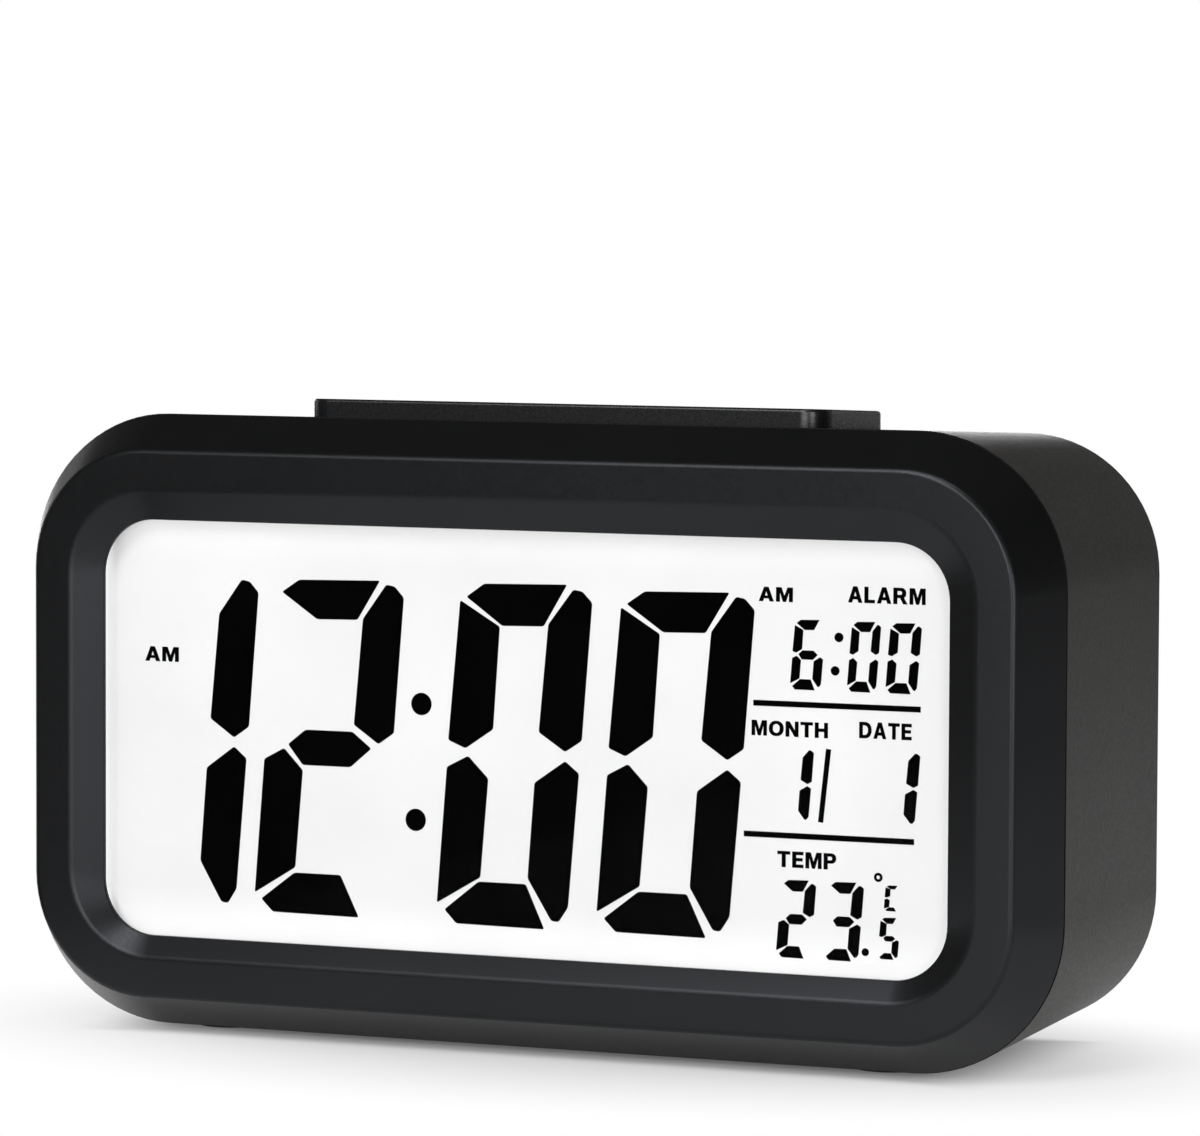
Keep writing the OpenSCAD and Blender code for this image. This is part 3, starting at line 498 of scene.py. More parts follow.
def rounded_loop(bm, half_x, half_z, radius, depth, lift=0.0):
    """Edges of a rounded rectangle, given by half sizes in millimetres, facing the viewer."""
    size = Matrix.Diagonal((half_x * MM, half_z * MM, 1, 1))
    place = Matrix.Translation(on_face(0, lift, depth)) @ UPRIGHT @ size
    return round_square(bm, place, radius, CORNER_STEPS)


def bridge_in_turn(bm, loops, apart, closed=False):
    """Bridges each loop to the next one. Two loops in one plane could be joined twisted, so the second
    one stands apart while it is bridged."""
    for first, second in zip(loops, loops[1:] + loops[:1] if closed else loops[1:]):
        corners = list({v for e in second for v in e.verts})
        bmesh.ops.translate(bm, verts=corners, vec=apart)
        bmesh.ops.bridge_loops(bm, edges=first + second)
        bmesh.ops.translate(bm, verts=corners, vec=-apart)


def soften(bm, edges, radius, steps):
    """Fillet of a given size along edges."""
    bmesh.ops.bevel(bm, geom=edges, offset=radius * MM, offset_type="OFFSET", segments=steps, profile=0.5,
                    affect="EDGES", material=-1, clamp_overlap=True)


print("loops of", 4 * CORNER_STEPS + 4, "edges")

# %% Turned shapes
def turned(bm, profile, x, z, depth, steps=48):
    """Spins points of (radius, height behind a depth) once round an axis that points backwards."""
    axis = on_face(x, z, depth)
    points = [bm.verts.new(axis + Vector((radius, height, 0)) * MM) for radius, height in profile]
    edges = [bm.edges.new(pair) for pair in zip(points, points[1:])]
    bmesh.ops.spin(bm, geom=points + edges, cent=axis, axis=(0, 1, 0), angle=math.tau, steps=steps,
                   use_merge=True)
    bmesh.ops.remove_doubles(bm, verts=bm.verts, dist=0.001 * MM)


print("shapes can be turned")

# %% Bands of the front frame
WINDOW_LIFT = -0.6
LIP_DEPTH, GLASS_DEPTH, TONGUE_DEPTH = 2.15, 3.75, 9.5
bm = bmesh.new()
lip_rear = rounded_loop(bm, 55.11, 25.4, 6.74, LIP_DEPTH, WINDOW_LIFT)
bevel_foot = rounded_loop(bm, 55.11, 25.4, 6.74, 1.66, WINDOW_LIFT)
ring_inner = rounded_loop(bm, 58.91, 28.56, 10.7, 0)
ring_outer = rounded_loop(bm, 63.68, 33.29, 14.6, 0)
crease = rounded_loop(bm, 67.5, 37.5, 18.4, SLOPE_DEPTH)
tongue_root = rounded_loop(bm, 65.2, 35.2, 16.1, SLOPE_DEPTH)
tongue_end = rounded_loop(bm, 65.2, 35.2, 16.1, TONGUE_DEPTH)
tongue_inner = rounded_loop(bm, 63.0, 33.0, 13.9, TONGUE_DEPTH)
glass_ledge = rounded_loop(bm, 63.0, 33.0, 13.9, GLASS_DEPTH)
window_seat = rounded_loop(bm, 56.95, 26.95, 7.85, GLASS_DEPTH)
window_stop = rounded_loop(bm, 56.95, 26.95, 7.85, LIP_DEPTH)
bands = [lip_rear, bevel_foot, ring_inner, ring_outer, crease, tongue_root, tongue_end, tongue_inner,
         glass_ledge, window_seat, window_stop]
bridge_in_turn(bm, bands, Vector((0, 0.2, 0)), closed=True)
soften(bm, ring_outer, 0.5, 4)
soften(bm, ring_inner, 0.4, 4)
soften(bm, crease, 0.22, 3)
soften(bm, bevel_foot, 0.12, 2)
SCREW_BOSS = [(0, -0.2), (2.4, -0.2), (2.4, 11.25), (1.35, 11.25), (1.35, 3.75), (0, 3.75)]
BOARD_POST = [(0, -0.2), (2.2, -0.2), (2.2, 6.0), (1.15, 6.0), (1.15, 1.1), (0, 1.1)]
BOSS_X, BOSS_Z = 40.6, 30.7
POST_X, POST_Z = 59.95, 10.0
for side, row in ((-1, -1), (-1, 1), (1, -1), (1, 1)):
    turned(bm, SCREW_BOSS, side * BOSS_X, row * BOSS_Z, GLASS_DEPTH, steps=24)
    turned(bm, BOARD_POST, side * POST_X, row * POST_Z, GLASS_DEPTH, steps=24)
front_moulding = make_piece("front_moulding", bm, "case", frame_black, ("front_frame",))
flat_normals(front_moulding)

# %% [markdown]
# ## Rear shell
# The rear shell is a deep tub with slightly drafted walls. It has many openings: the snooze bar's in
# the top, holes for keys, screws and sound at the back, and the battery bay. Cutting these again would
# only repeat the CAD work, so the node's mesh is copied, merged and cleared of needless edges. Then
# the rims that a finger can feel are bevelled, because no moulded rim is knife sharp.

# %% Rear shell
REAR_WALL = case_low.y + CASE_DEPTH * MM


def on_rear_wall(point):
    """Tells if a point lies in the outer face of the rear wall."""
    return abs(point.y - REAR_WALL) < 0.02 * MM


def merged_copy(node):
    """Copy of a CAD node's mesh as one closed skin, without the edges inside its flat faces."""
    bm = bmesh.new()
    bm.from_mesh(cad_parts[node].data)
    bmesh.ops.remove_doubles(bm, verts=bm.verts, dist=0.001 * MM)
    bmesh.ops.dissolve_limit(bm, angle_limit=math.radians(0.05), verts=bm.verts, edges=bm.edges)
    return bm


def rims(bm, inside, least_angle=30):
    """Sharp edges of a skin whose two ends lie inside a given region."""
    return [e for e in bm.edges if e.is_manifold and e.calc_face_angle(0) > math.radians(least_angle)
            and all(inside(v.co) for v in e.verts)]


bm = merged_copy("rear_shell")
rear_rims = rims(bm, on_rear_wall)
print("rims on the rear wall:", len(rear_rims))
soften(bm, rear_rims, 0.2, 2)
rear_tub = make_piece("rear_tub", bm, "case", shell_black, ("rear_shell",), sharp=30)
flat_normals(rear_tub)

# %% [markdown]
# ## Snooze bar
# The bar is a hollow cap with round corners that follows the slope of the top wall. A flange below the
# wall keeps it from falling out. It is built like the front: rounded loops, this time drawn level with
# the top wall and seen from above, bridged in turn and closed with a face at the top.

# %% Snooze bar
BAR_HALF = 34.1
BAR_FRONT, BAR_REAR = 14.6, 35.6
BAR_PROUD = 2.25
BAR_WALL = 1.6
BAR_CORNER, BAR_CORNER_STEPS = 3.0, 8
FLANGE_REACH, FLANGE_LOW, FLANGE_TOP = 1.6, -3.5, -2.3
CASE_HALF_HEIGHT = 37.5


def bar_loop(bm, grow, radius, height):
    """Edges of a rounded rectangle that lies at a height above the sloped top wall."""
    middle = (BAR_FRONT + BAR_REAR) / 2
    half = (BAR_REAR - BAR_FRONT) / 2 + grow
    fall = draw_in(middle + half) - draw_in(middle)
    place = Matrix(((BAR_HALF + grow, 0, 0, 0), (0, half, 0, 0), (0, -fall, 1, 0), (0, 0, 0, 1)))
    place = Matrix.Diagonal((MM, MM, MM, 1)) @ place
    place.translation = on_face(0, CASE_HALF_HEIGHT - draw_in(middle) + height, middle)
    return round_square(bm, place, radius, BAR_CORNER_STEPS)


bm = bmesh.new()
cavity_roof = bar_loop(bm, -BAR_WALL, 0.5, BAR_PROUD - BAR_WALL)
cavity_mouth = bar_loop(bm, -BAR_WALL, 0.5, FLANGE_LOW)
flange_low = bar_loop(bm, FLANGE_REACH, 1.0, FLANGE_LOW)
flange_top = bar_loop(bm, FLANGE_REACH, 1.0, FLANGE_TOP)
neck = bar_loop(bm, 0, BAR_CORNER, FLANGE_TOP)
crown = bar_loop(bm, 0, BAR_CORNER, BAR_PROUD)
bridge_in_turn(bm, [cavity_roof, cavity_mouth, flange_low, flange_top, neck, crown], Vector((0, 0, 0.2)))
bmesh.ops.contextual_create(bm, geom=cavity_roof)
bmesh.ops.contextual_create(bm, geom=crown)
soften(bm, crown, 0.4, 4)
PLUNGER_RADIUS, PLUNGER_DEPTH, PLUNGER_LOW, PLUNGER_HIGH = 1.8, 18.2, 28.75, 37.8
middle = on_face(0, (PLUNGER_LOW + PLUNGER_HIGH) / 2, PLUNGER_DEPTH)
bmesh.ops.create_cone(bm, cap_ends=True, segments=32, radius1=PLUNGER_RADIUS * MM,
                      radius2=PLUNGER_RADIUS * MM, depth=(PLUNGER_HIGH - PLUNGER_LOW) * MM,
                      matrix=Matrix.Translation(middle))
bar_cap = make_piece("snooze_cap", bm, "snooze_bar", bar_black, ("snooze_bar",))
flat_normals(bar_cap)

# %% [markdown]
# ## Rear keys
# Each key is a turned shape: a shallow dish for the fingertip, a round rim, a flange behind the wall
# and a plunger. Its half profile is a few points, spun once round the key's axis.

# %% Rear keys
KEY_PROFILE = [(0, 0.55), (1.8, 0.6), (3.2, 0.8), (4.0, 0.8), (4.0, -2.3), (5.2, -2.3), (5.2, -3.3),
               (1.7, -3.3), (1.7, -4.0), (0, -4.0)]
KEY_HEIGHT = 22.0
KEY_PITCH = 14.0


def key_x(place_in_row):
    """How far right of the middle a key of the row of four stands, in millimetres."""
    return (place_in_row - 1.5) * KEY_PITCH


for place_in_row, key in enumerate(("time_key", "alarm_key", "up_key", "down_key")):
    bm = bmesh.new()
    turned(bm, KEY_PROFILE, key_x(place_in_row), KEY_HEIGHT, CASE_DEPTH)
    rim = rims(bm, lambda p: p.y > REAR_WALL + 0.75 * MM)
    soften(bm, rim, 0.3, 3)
    make_piece(key + "_cap", bm, key, key_black, (key,))

# %% [markdown]
# ## Battery door
# The door is a plate that lies flush in the rear wall and turns on two pins at its lower edge. Ridges
# near its upper edge give the fingernail a grip. The CAD door has all of this, so it is copied, and its
# rim and the ridges are softened. Only edges that stick out are bevelled, not the feet of the ridges.
# Inside, two ribs stiffen the plate. They stand between the rows of cells, where there is room for them.

# %% Battery door
bm = merged_copy("battery_door")
plate_rim = [e for e in rims(bm, on_rear_wall) if e.is_convex]
soften(bm, plate_rim, 0.25, 2)
ridge_tops = rims(bm, lambda p: p.y > REAR_WALL + 0.28 * MM)
soften(bm, ridge_tops, 0.15, 2)
CELL_ROWS = (2.2, -9.0, -20.2)
DOOR_INSIDE = 42.8
RIB_LONG, RIB_WIDE, RIB_HIGH, RIB_ROOT = 42.0, 1.0, 1.6, 0.3
for above, below in zip(CELL_ROWS, CELL_ROWS[1:]):
    middle = on_face(0, (above + below) / 2, DOOR_INSIDE + (RIB_ROOT - RIB_HIGH) / 2)
    size = Vector((RIB_LONG, RIB_HIGH + RIB_ROOT, RIB_WIDE)) * MM
    place = Matrix.Translation(middle) @ Matrix.Diagonal((*size, 1))
    corners = bmesh.ops.create_cube(bm, size=1, matrix=place)["verts"]
    soften(bm, list({e for v in corners for e in v.link_edges}), 0.2, 2)
door_plate = make_piece("door_plate", bm, "battery_door", shell_black, ("battery_door",),
                        sharp=30)
flat_normals(door_plate)

# %% [markdown]
# ## Display
# Behind a clear window lies the display glass: white, because light shines through it from behind,
# with black segments that are etched on its front. Each segment is a flat polygon of a few points,
# drawn once in the proportions of the large digits; every digit is a choice of these segments, scaled
# and slanted into its place, and extruded to a film a few hundredths of a millimetre thick.

# %% Segments of a digit
FILM = 0.06
DIGIT_WIDE, DIGIT_HIGH = 17.2, 40.4
SLANT = 0.085
SEGMENTS = {
    "a": [(0.7, 18.5), (2.9, 20.0), (13.7, 20.2), (11.1, 15.5), (5.7, 15.4)],
    "b": [(14.6, 19.8), (15.7, 19.6), (17.0, 18.3), (17.1, 2.0), (15.2, 0.6), (11.8, 2.8), (11.9, 15.6)],
    "c": [(15.2, -19.5), (16.1, -19.6), (17.1, -17.8), (17.1, -1.9), (15.3, -0.5), (11.8, -3.2),
          (11.9, -14.6)],
    "d": [(1.1, -18.8), (2.8, -20.3), (14.4, -20.4), (11.5, -15.5), (5.3, -15.5)],
    "e": [(0.2, -18.1), (5.3, -14.8), (5.3, -3.0), (2.6, -0.4), (0.1, -1.8)],
    "f": [(0.1, 18.1), (5.2, 15.1), (5.4, 2.9), (2.2, 0.5), (0.0, 1.4)],
    "g": [(3.1, 0.1), (5.3, 1.9), (11.6, 1.9), (14.3, 0.0), (11.7, -2.3), (5.3, -2.3)],
}
DIGITS = {"0": "abcdef", "1": "bc", "2": "abged", "3": "abgcd", "5": "afgcd", "6": "afgedc", "C": "afed"}


def film(bm, points, rounding=0.0):
    """Flat polygon on the display glass, its corners rounded, extruded to the thickness of a film."""
    ring = [bm.verts.new(on_face(x, z, GLASS_DEPTH)) for x, z in points]
    bm.faces.new(ring)
    if rounding:
        bmesh.ops.bevel(bm, geom=ring, offset=rounding * MM, offset_type="OFFSET", segments=3, profile=0.5,
                        affect="VERTICES", material=-1)


def thicken(bm, facing=1):
    """Gives every flat face of a film its thickness: towards the viewer, or with facing -1 to the rear."""
    top = bmesh.ops.extrude_face_region(bm, geom=bm.faces[:])["geom"]
    raised = [v for v in top if isinstance(v, bmesh.types.BMVert)]
    bmesh.ops.translate(bm, verts=raised, vec=(0, -facing * FILM * MM, 0))


def digit(bm, sign, left, right, low, high, upright=1.0, level=1.0, length=1.0):
    """One slanted digit in a box of millimetres on the face. Its upright and level strokes can be made
    heavier, and all of them shorter."""
    tall = (high - low) / DIGIT_HIGH
    lean = SLANT * (high - low)
    wide = (right - left - lean) / DIGIT_WIDE
    middle = (low + high) / 2
    for name in DIGITS[sign]:
        corners = [Vector(point) for point in SEGMENTS[name]]
        centre = sum(corners, Vector((0, 0))) / len(corners)
        stretch = Vector((length, level) if name in "adg" else (upright, length))
        grown = [centre + (corner - centre) * stretch for corner in corners]
        points = [(left + lean / 2 + u * wide + SLANT * v * tall, middle + v * tall) for u, v in grown]
        film(bm, points, 0.25 * tall)


def dot(bm, x, z, radius):
    """Round dot of the display."""
    place = Matrix.Translation(on_face(x, z, GLASS_DEPTH)) @ UPRIGHT
    bmesh.ops.create_circle(bm, cap_ends=True, segments=24, radius=radius * MM, matrix=place)


def rule(bm, x0, z0, x1, z1, thick):
    """Straight line between two points of the display."""
    along = Vector((x1 - x0, z1 - z0)).normalized() * thick / 2
    points = [(x0 - along.y, z0 + along.x), (x1 - along.y, z1 + along.x), (x1 + along.y, z1 - along.x),
              (x0 + along.y, z0 - along.x)]
    film(bm, points)


print("segments:", sorted(SEGMENTS))

# %% Time
display_black = grained("display_black", (0.0008, 0.0008, 0.0009), (0.0014, 0.0014, 0.0015), gloss=(0.5, 0.6),
                        relief_mm=0.001, shine=0.0)
TIME_LOW = -22.35
TIME_LEAN = 1.72
TIME_DIGITS = (("1", -53.55, 18.12, 1.0), ("2", -34.06, 18.12, 1.02), ("0", -9.45, 18.30, 1.07),
               ("0", 11.42, 18.12, 1.03))
COLON = ((-13.08, 3.55), (-13.80, -10.42))
bm = bmesh.new()
for sign, left, top, weight in TIME_DIGITS:
    digit(bm, sign, left - TIME_LEAN, left + DIGIT_WIDE + TIME_LEAN, TIME_LOW, top, weight, weight)
for x, z in COLON:
    dot(bm, x, z, 1.35)
thicken(bm)
make_piece("time_digits", bm, "case", display_black)

# %% Alarm, date and temperature
DATE_DIGITS = (("1", 33.44, 37.54, -8.17, 0.19, 1.34), ("1", 46.66, 50.76, -8.02, 0.34, 1.42))
SMALL_DIGITS = (
    ("6", 34.45, 39.12, 7.30, 15.22, 0.93), ("0", 41.57, 46.03, 7.30, 15.22, 0.90),
    ("0", 46.37, 51.08, 7.30, 15.22, 0.92), ("2", 32.95, 38.08, -24.15, -15.30, 1.05),
    ("3", 38.86, 44.06, -24.15, -15.24, 1.05), ("5", 45.75, 48.60, -23.75, -19.04, 1.1),
    ("C", 46.50, 48.60, -18.14, -15.24, 1.13),
)
DEGREE_MIDDLE = (45.77, -14.33)
bm = bmesh.new()
for sign_and_box in DATE_DIGITS:
    digit(bm, *sign_and_box)
for sign_and_box in SMALL_DIGITS:
    digit(bm, *sign_and_box, level=1.3, length=0.93)
for x, z, radius in ((40.66, 13.41, 0.56), (40.21, 9.50, 0.55), (44.22, -23.15, 0.46)):
    dot(bm, x, z, radius)
rule(bm, 29.95, 5.40, 50.88, 5.40, 0.68)
rule(bm, 28.84, -10.01, 50.18, -10.01, 0.68)
rule(bm, 39.46, 0.34, 38.51, -8.27, 0.64)
lines = []
place = Matrix.Translation(on_face(*DEGREE_MIDDLE, GLASS_DEPTH)) @ UPRIGHT
for radius in (0.54, 0.22):
    circle = bmesh.ops.create_circle(bm, cap_ends=False, segments=20, radius=radius * MM, matrix=place)
    lines += list({e for v in circle["verts"] for e in v.link_edges})
bmesh.ops.triangle_fill(bm, use_beauty=True, use_dissolve=True, edges=lines)
thicken(bm)
make_piece("small_digits", bm, "case", display_black)

# %% [markdown]
# ## Words of the display
# The small words name what the numbers mean. Blender's own typeface is too thin for them, so a few
# block letters are drawn on a grid of ten units: an outline of straight lines, some corners with a
# radius, and a hole where the letter has one. A triangle fill closes the area between the outlines.

# %% Block letters
LETTERS = {
    "A": [[(0, 0), (3.2, 10), (5.8, 10), (9, 0), (6.5, 0), (5.9, 2), (3.1, 2), (2.5, 0)],
          [(3.7, 4), (5.3, 4), (4.5, 7)]],
    "D": [[(0, 0), (0, 10), (8.6, 10, 4.4), (8.6, 0, 4.4)],
          [(2.5, 2.1), (2.5, 7.9), (6.1, 7.9, 2.3), (6.1, 2.1, 2.3)]],
    "E": [[(0, 0), (0, 10), (7, 10), (7, 7.9), (2.5, 7.9), (2.5, 6.1), (6.5, 6.1), (6.5, 4.1), (2.5, 4.1),
           (2.5, 2.1), (7, 2.1), (7, 0)]],
    "H": [[(0, 0), (0, 10), (2.5, 10), (2.5, 6.2), (6, 6.2), (6, 10), (8.5, 10), (8.5, 0), (6, 0), (6, 4),
           (2.5, 4), (2.5, 0)]],
    "I": [[(0, 0), (0, 10), (2.5, 10), (2.5, 0)]],
    "L": [[(0, 0), (0, 10), (2.5, 10), (2.5, 2.1), (6.6, 2.1), (6.6, 0)]],
    "M": [[(0, 0), (0, 10), (3.2, 10), (5, 4.2), (6.8, 10), (10, 10), (10, 0), (7.7, 0), (7.7, 6.6),
           (5.9, 0), (4.1, 0), (2.3, 6.6), (2.3, 0)]],
    "N": [[(0, 0), (0, 10), (2.5, 10), (6, 4.2), (6, 10), (8.4, 10), (8.4, 0), (5.9, 0), (2.4, 5.8),
           (2.4, 0)]],
    "O": [[(0, 0, 4.5), (0, 10, 4.5), (9.6, 10, 4.5), (9.6, 0, 4.5)],
          [(2.6, 2.1, 2.2), (2.6, 7.9, 2.2), (7, 7.9, 2.2), (7, 2.1, 2.2)]],
    "P": [[(0, 0), (0, 10), (7.8, 10, 3), (7.8, 3.7, 3), (2.5, 3.7), (2.5, 0)],
          [(2.5, 8), (5.3, 8, 1.1), (5.3, 5.7, 1.1), (2.5, 5.7)]],
    "R": [[(0, 0), (0, 10), (8, 10, 2.9), (8, 4.1, 2.2), (6.6, 4.1), (8.9, 0), (6.2, 0), (4.2, 3.7),
           (2.5, 3.7), (2.5, 0)],
          [(2.5, 8), (5.5, 8, 1), (5.5, 5.7, 1), (2.5, 5.7)]],
    "T": [[(0, 10), (8, 10), (8, 7.9), (5.25, 7.9), (5.25, 0), (2.75, 0), (2.75, 7.9), (0, 7.9)]],
}
LETTER_GAP = 1.3


def outline(bm, points):
    """Closed line through points of (x, y) or (x, y, corner radius)."""
    earlier, earlier_faces = set(bm.edges), set(bm.faces)
    corners = [bm.verts.new((point[0], point[1], 0)) for point in points]
    bm.faces.new(corners)
    for corner, point in zip(corners, points):
        if len(point) > 2:
            bmesh.ops.bevel(bm, geom=[corner], offset=point[2], offset_type="OFFSET", segments=6, profile=0.5,
                            affect="VERTICES", material=-1)
    bmesh.ops.delete(bm, geom=[f for f in bm.faces if f not in earlier_faces], context="FACES_ONLY")
    return [e for e in bm.edges if e not in earlier]


def word(bm, letters, left, right, low, high, depth, facing=1):
    """Sets a word into a box of millimetres on the face, or with facing -1 on the rear wall."""
    earlier = set(bm.verts)
    pen = 0.0
    for letter in letters:
        before = set(bm.verts)
        lines = [e for points in LETTERS[letter] for e in outline(bm, points)]
        bmesh.ops.triangle_fill(bm, use_beauty=True, use_dissolve=True, edges=lines)
        drawn = [v for v in bm.verts if v not in before]
        wide = max(v.co.x for v in drawn)
        bmesh.ops.translate(bm, verts=drawn, vec=(pen, 0, 0))
        pen += wide + LETTER_GAP
    size = Matrix.Diagonal(((right - left) / (pen - LETTER_GAP) * MM, (high - low) / 10 * MM, 1, 1))
    turn = UPRIGHT
    corner = on_face(left, low, depth)
    if facing < 0:
        turn = Matrix.Rotation(math.pi, 4, "Z") @ UPRIGHT
        corner = on_face(right, low, depth)
    written = [v for v in bm.verts if v not in earlier]
    bmesh.ops.transform(bm, matrix=Matrix.Translation(corner) @ turn @ size, verts=written)


print("letters:", " ".join(sorted(LETTERS)))

# %% Words of the display
WORDS = (
    ("AM", -50.49, -45.88, 7.40, 9.20), ("AM", 30.55, 34.85, 17.32, 19.02),
    ("ALARM", 41.77, 51.38, 17.52, 19.42), ("MONTH", 29.75, 39.36, 1.59, 3.39),
    ("DATE", 43.27, 49.78, 1.79, 3.70), ("TEMP", 33.10, 40.51, -13.73, -11.83),
)
bm = bmesh.new()
for letters_and_box in WORDS:
    word(bm, *letters_and_box, GLASS_DEPTH)
thicken(bm)
make_piece("display_words", bm, "case", display_black)

# %% [markdown]
# ## Signs at the back
# A user has to tell the keys apart, so each has a sign printed above it: a word, or a triangle that
# points up or down. In the battery bay a plus and a minus show which way each cell goes. They are thin
# films like the display's words, made of the same block letters, but they face backwards.

# %% Signs at the back
SIGN_LOW, SIGN_HIGH = 28.2, 30.0
mark_white = grained("mark_white", (0.42, 0.42, 0.42), (0.52, 0.52, 0.51), gloss=(0.5, 0.6), relief_mm=0.002)
bm = bmesh.new()
for letters, place_in_row, half_width in (("TIME", 0, 2.9), ("ALARM", 1, 4.1)):
    x = key_x(place_in_row)
    word(bm, letters, x - half_width, x + half_width, SIGN_LOW, SIGN_HIGH, CASE_DEPTH, facing=-1)


def rear_shape(bm, points, depth):
    """Flat polygon of face millimetres that looks backwards."""
    bm.faces.new([bm.verts.new(on_face(x, z, depth)) for x, z in points])


for place_in_row, foot, tip in ((2, SIGN_LOW, SIGN_HIGH), (3, SIGN_HIGH, SIGN_LOW)):
    x = key_x(place_in_row)
    rear_shape(bm, [(x - 1.2, foot), (x + 1.2, foot), (x, tip)], CASE_DEPTH)
thicken(bm, facing=-1)
make_piece("key_signs", bm, "case", mark_white)

# %% Polarity signs in the battery bay
BAY_LEDGE_X, BAY_LEDGE_DEPTH = 26.25, 42.5
ARM, BAR = 0.75, 0.17
MINUS = [(-ARM, -BAR), (ARM, -BAR), (ARM, BAR), (-ARM, BAR)]
PLUS = [(-ARM, -BAR), (-BAR, -BAR), (-BAR, -ARM), (BAR, -ARM), (BAR, -BAR), (ARM, -BAR),
        (ARM, BAR), (BAR, BAR), (BAR, ARM), (-BAR, ARM), (-BAR, BAR), (-ARM, BAR)]
bm = bmesh.new()
for z, plus_side in zip(CELL_ROWS, (1, -1, 1)):
    for side in (-1, 1):
        sign = PLUS if side == plus_side else MINUS
        rear_shape(bm, [(side * BAY_LEDGE_X + u, z + v) for u, v in sign], BAY_LEDGE_DEPTH)
thicken(bm, facing=-1)
make_piece("bay_signs", bm, "case", mark_white)

# %% [markdown]
# ## Finishes of the carried-over pieces
# The remaining CAD pieces have the right shape already and only need their finish. The display glass
# glows softly, and more towards its rim: that rise is painted light, which cancels the shade that the frame
# throws on the glass there. The window is clear, boards are green under a cloudy lacquer, and springs,
# contacts and screws are plated metal. The cells have a plain printed sleeve, whose pale band tells the plus
# end.

# %% Lit display glass
glass_low, glass_high = (Vector(corner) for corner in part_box("lcd_panel"))
lit_glass, tree, shader = start_finish("lit_glass")
place = node_of(tree, "ShaderNodeTexCoord").outputs["Object"]
centred = node_of(tree, "ShaderNodeMapping")
half = (glass_high - glass_low) / 2
middle = (glass_high + glass_low) / 2
centred.inputs["Scale"].default_value = (1 / half.x, 1, 1 / half.z)
centred.inputs["Location"].default_value = (-middle.x / half.x, 0, -middle.z / half.z)
tree.links.new(place, centred.inputs["Vector"])
split = node_of(tree, "ShaderNodeSeparateXYZ")
tree.links.new(centred.outputs["Vector"], split.inputs["Vector"])
sides = []
# Painted light: the glow rises up to 3 times towards the left and right rim and 1.6 times towards the top and
# bottom, to cancel the frame's shade on the glass.
for axis, start, end, most in (("X", 0.945, 0.98, 3.0), ("Z", 0.7, 1.0, 1.6)):
    distance = node_of(tree, "ShaderNodeMath", operation="ABSOLUTE")
    tree.links.new(split.outputs[axis], distance.inputs[0])
    painted_rim_light = node_of(tree, "ShaderNodeMapRange", interpolation_type="SMOOTHSTEP")
    set_range(painted_rim_light, start, end, 1.0, most)
    tree.links.new(distance.outputs["Value"], painted_rim_light.inputs["Value"])
    sides.append(painted_rim_light.outputs["Result"])
both = node_of(tree, "ShaderNodeMath", operation="MULTIPLY")
tree.links.new(sides[0], both.inputs[0])
tree.links.new(sides[1], both.inputs[1])
haze = noise_of(tree, place, 22, detail=3)
glow_and_painted_rim_light = node_of(tree, "ShaderNodeMath", operation="MULTIPLY")
tree.links.new(both.outputs["Value"], glow_and_painted_rim_light.inputs[0])
tree.links.new(range_of(tree, haze, 0.31, 0.33), glow_and_painted_rim_light.inputs[1])
milky = ramp_of(tree, haze, (0.3, (0.52, 0.52, 0.52)), (0.7, (0.55, 0.55, 0.55)))
tree.links.new(milky, shader.inputs["Base Color"])
tree.links.new(glow_and_painted_rim_light.outputs["Value"], shader.inputs["Emission Strength"])
shader.inputs["Emission Color"].default_value = (1, 1, 1, 1)
shader.inputs["Roughness"].default_value = 0.35
shader.inputs["Specular IOR Level"].default_value = 0.1
dress(lit_glass, "lcd_panel")
print("lit glass, half size", [round(v / MM, 2) for v in half], "mm")

# %% Clear window
clear_window, tree, shader = start_finish("clear_window")
place = node_of(tree, "ShaderNodeTexCoord").outputs["Object"]
film_haze = noise_of(tree, place, 30, detail=2)
shader.inputs["Base Color"].default_value = (0.004, 0.004, 0.004, 1)
tree.links.new(range_of(tree, film_haze, 0.03, 0.06), shader.inputs["Roughness"])
tree.links.new(range_of(tree, film_haze, 0.015, 0.025), shader.inputs["Alpha"])
dress(clear_window, "display_window")
print("window is clear")

# %% Inner pieces
board_green = grained("board_green", (0.012, 0.075, 0.030), (0.022, 0.115, 0.045), grain_mm=1.2, cloud_mm=6,
                      relief_mm=0.02, gloss=(0.28, 0.4), shine=0.5)
plated_steel = grained("plated_steel", (0.55, 0.55, 0.54), (0.70, 0.70, 0.69), grain_mm=0.8, cloud_mm=4,
                       relief_mm=0.003, gloss=(0.22, 0.36), metal=1.0, shine=0.5)
milky_plastic = grained("milky_plastic", (0.70, 0.70, 0.68), (0.80, 0.80, 0.78), gloss=(0.4, 0.5), shine=0.5)
switch_black = grained("switch_black", (0.018, 0.018, 0.019), (0.028, 0.028, 0.030), gloss=(0.4, 0.5),
                       shine=0.5)
stem_white = grained("stem_white", (0.66, 0.64, 0.58), (0.76, 0.74, 0.68), gloss=(0.35, 0.45), shine=0.5)
brass = grained("brass", (0.62, 0.42, 0.14), (0.75, 0.52, 0.20), grain_mm=0.5, cloud_mm=5, relief_mm=0.004,
                gloss=(0.25, 0.38), metal=1.0, shine=0.5)
ceramic = grained("ceramic", (0.66, 0.63, 0.56), (0.76, 0.73, 0.66), gloss=(0.5, 0.6), shine=0.5)
strip_rubber = grained("strip_rubber", (0.42, 0.24, 0.22), (0.52, 0.32, 0.30), grain_mm=0.3, gloss=(0.6, 0.7))
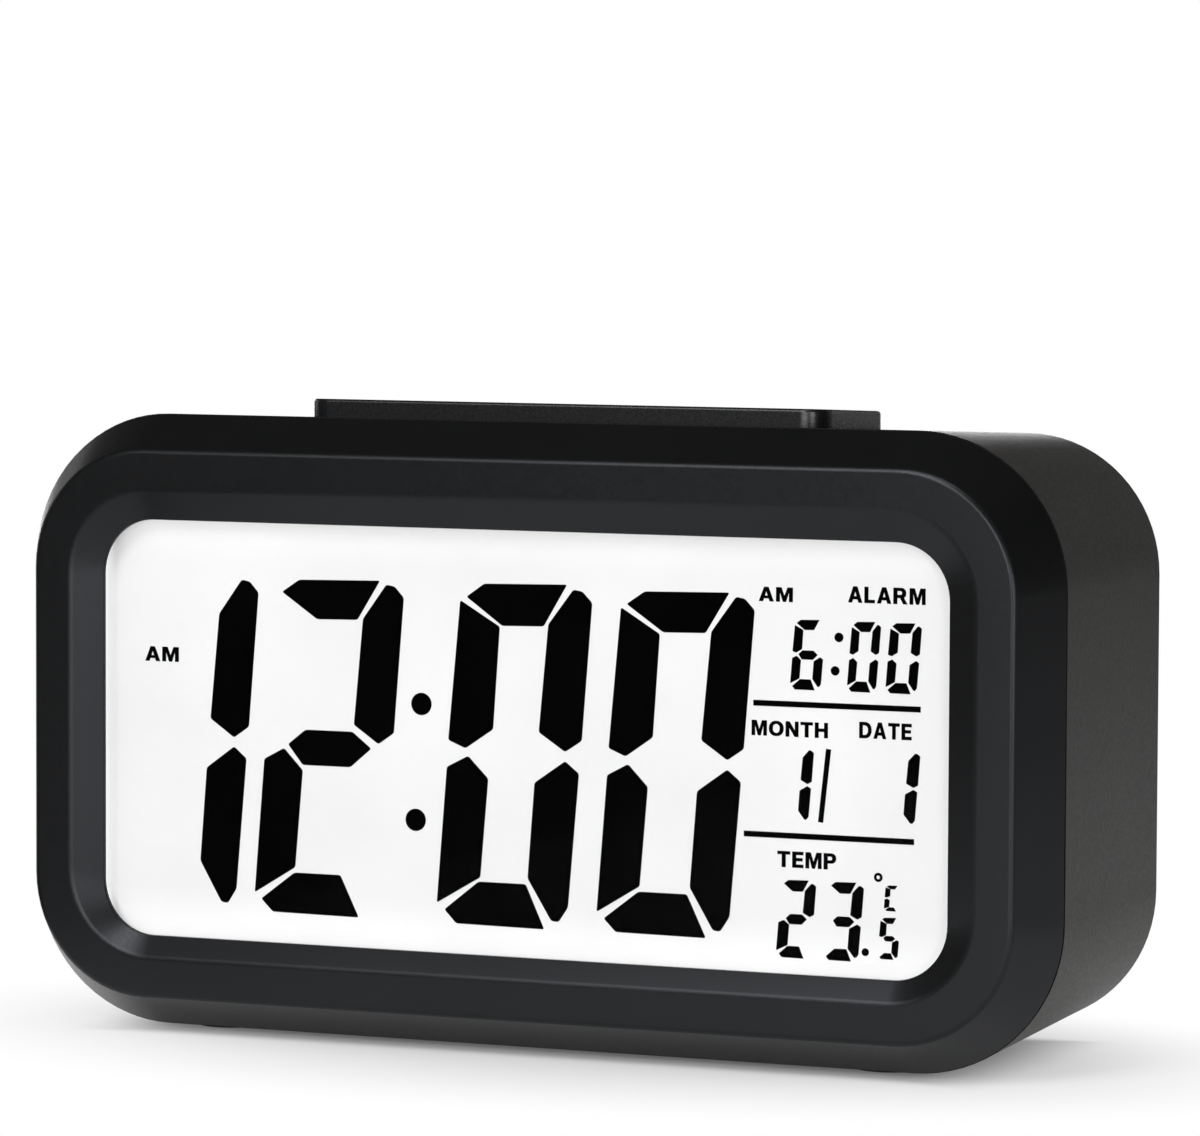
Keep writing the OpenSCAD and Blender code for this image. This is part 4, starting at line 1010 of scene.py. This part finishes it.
sleeve_blue = grained("sleeve_blue", (0.010, 0.022, 0.060), (0.016, 0.034, 0.085), gloss=(0.3, 0.4),
                      shine=0.5)
potting_black = grained("potting_black", (0.006, 0.006, 0.006), (0.012, 0.012, 0.012), cloud_mm=3,
                        gloss=(0.15, 0.3), shine=0.5)
lead_red = grained("lead_red", (0.30, 0.020, 0.014), (0.42, 0.030, 0.022), cloud_mm=3, gloss=(0.35, 0.5),
                   shine=0.5)
lead_black = grained("lead_black", (0.010, 0.010, 0.011), (0.018, 0.018, 0.019), cloud_mm=3,
                     gloss=(0.35, 0.5))
ribbon_grey = grained("ribbon_grey", (0.36, 0.37, 0.39), (0.46, 0.47, 0.49), cloud_mm=2, gloss=(0.4, 0.55),
                      shine=0.5)
dress(board_green, "main_board", "key_board")
dress(ribbon_grey, "key_ribbon")
dress(lead_red, "battery_lead_plus", "sounder_lead_ceramic")
dress(lead_black, "battery_lead_minus", "sounder_lead_disc")
dress(plated_steel, "board_screws", "key_board_screws", "case_screws", "cell_springs", "cell_contacts",
      "crystal")
dress(milky_plastic, "light_guide", "backlight_tray", "backlight_leds")
dress(switch_black, "snooze_switch", "key_switches")
dress(stem_white, "snooze_stem", "time_stem", "alarm_stem", "up_stem", "down_stem")
dress(brass, "sounder_disc")
dress(ceramic, "sounder_ceramic")
dress(strip_rubber, "zebra_strips")
dress(sleeve_blue, "capacitors")
dress(potting_black, "control_chip", "thermistor")
dress(foot_rubber, "foot_front_left", "foot_front_right", "foot_rear_left", "foot_rear_right")
print("dressed the inner pieces")

# %% Cells
SLEEVE_HALF = 22.05 * MM
BARE_STEEL, SLEEVE_GREEN, PALE_BAND = (0.55, 0.55, 0.54), (0.020, 0.060, 0.034), (0.62, 0.63, 0.60)


def cell_sleeve(name, plus_right):
    """Printed sleeve of a cell: a dark body, a pale band near its plus end, and bare steel past its ends."""
    material, tree, shader = start_finish(name)
    place = node_of(tree, "ShaderNodeTexCoord").outputs["Object"]
    split = node_of(tree, "ShaderNodeSeparateXYZ")
    tree.links.new(place, split.inputs["Vector"])
    along = node_of(tree, "ShaderNodeMapRange")
    plus_end = SLEEVE_HALF if plus_right else -SLEEVE_HALF
    set_range(along, -plus_end, plus_end, 0.0, 1.0)
    tree.links.new(split.outputs["X"], along.inputs["Value"])
    stripes = ramp_of(tree, along.outputs["Result"], (0.0, BARE_STEEL), (0.03, SLEEVE_GREEN),
                      (0.70, PALE_BAND), (0.74, SLEEVE_GREEN), (0.965, BARE_STEEL), blend="CONSTANT")
    tree.links.new(stripes, shader.inputs["Base Color"])
    scuff = noise_of(tree, place, 2.5, detail=4)
    tree.links.new(range_of(tree, scuff, 0.22, 0.4), shader.inputs["Roughness"])
    return material


dress(cell_sleeve("cell_sleeve_right", True), "cell_top", "cell_bottom")
dress(cell_sleeve("cell_sleeve_left", False), "cell_middle")
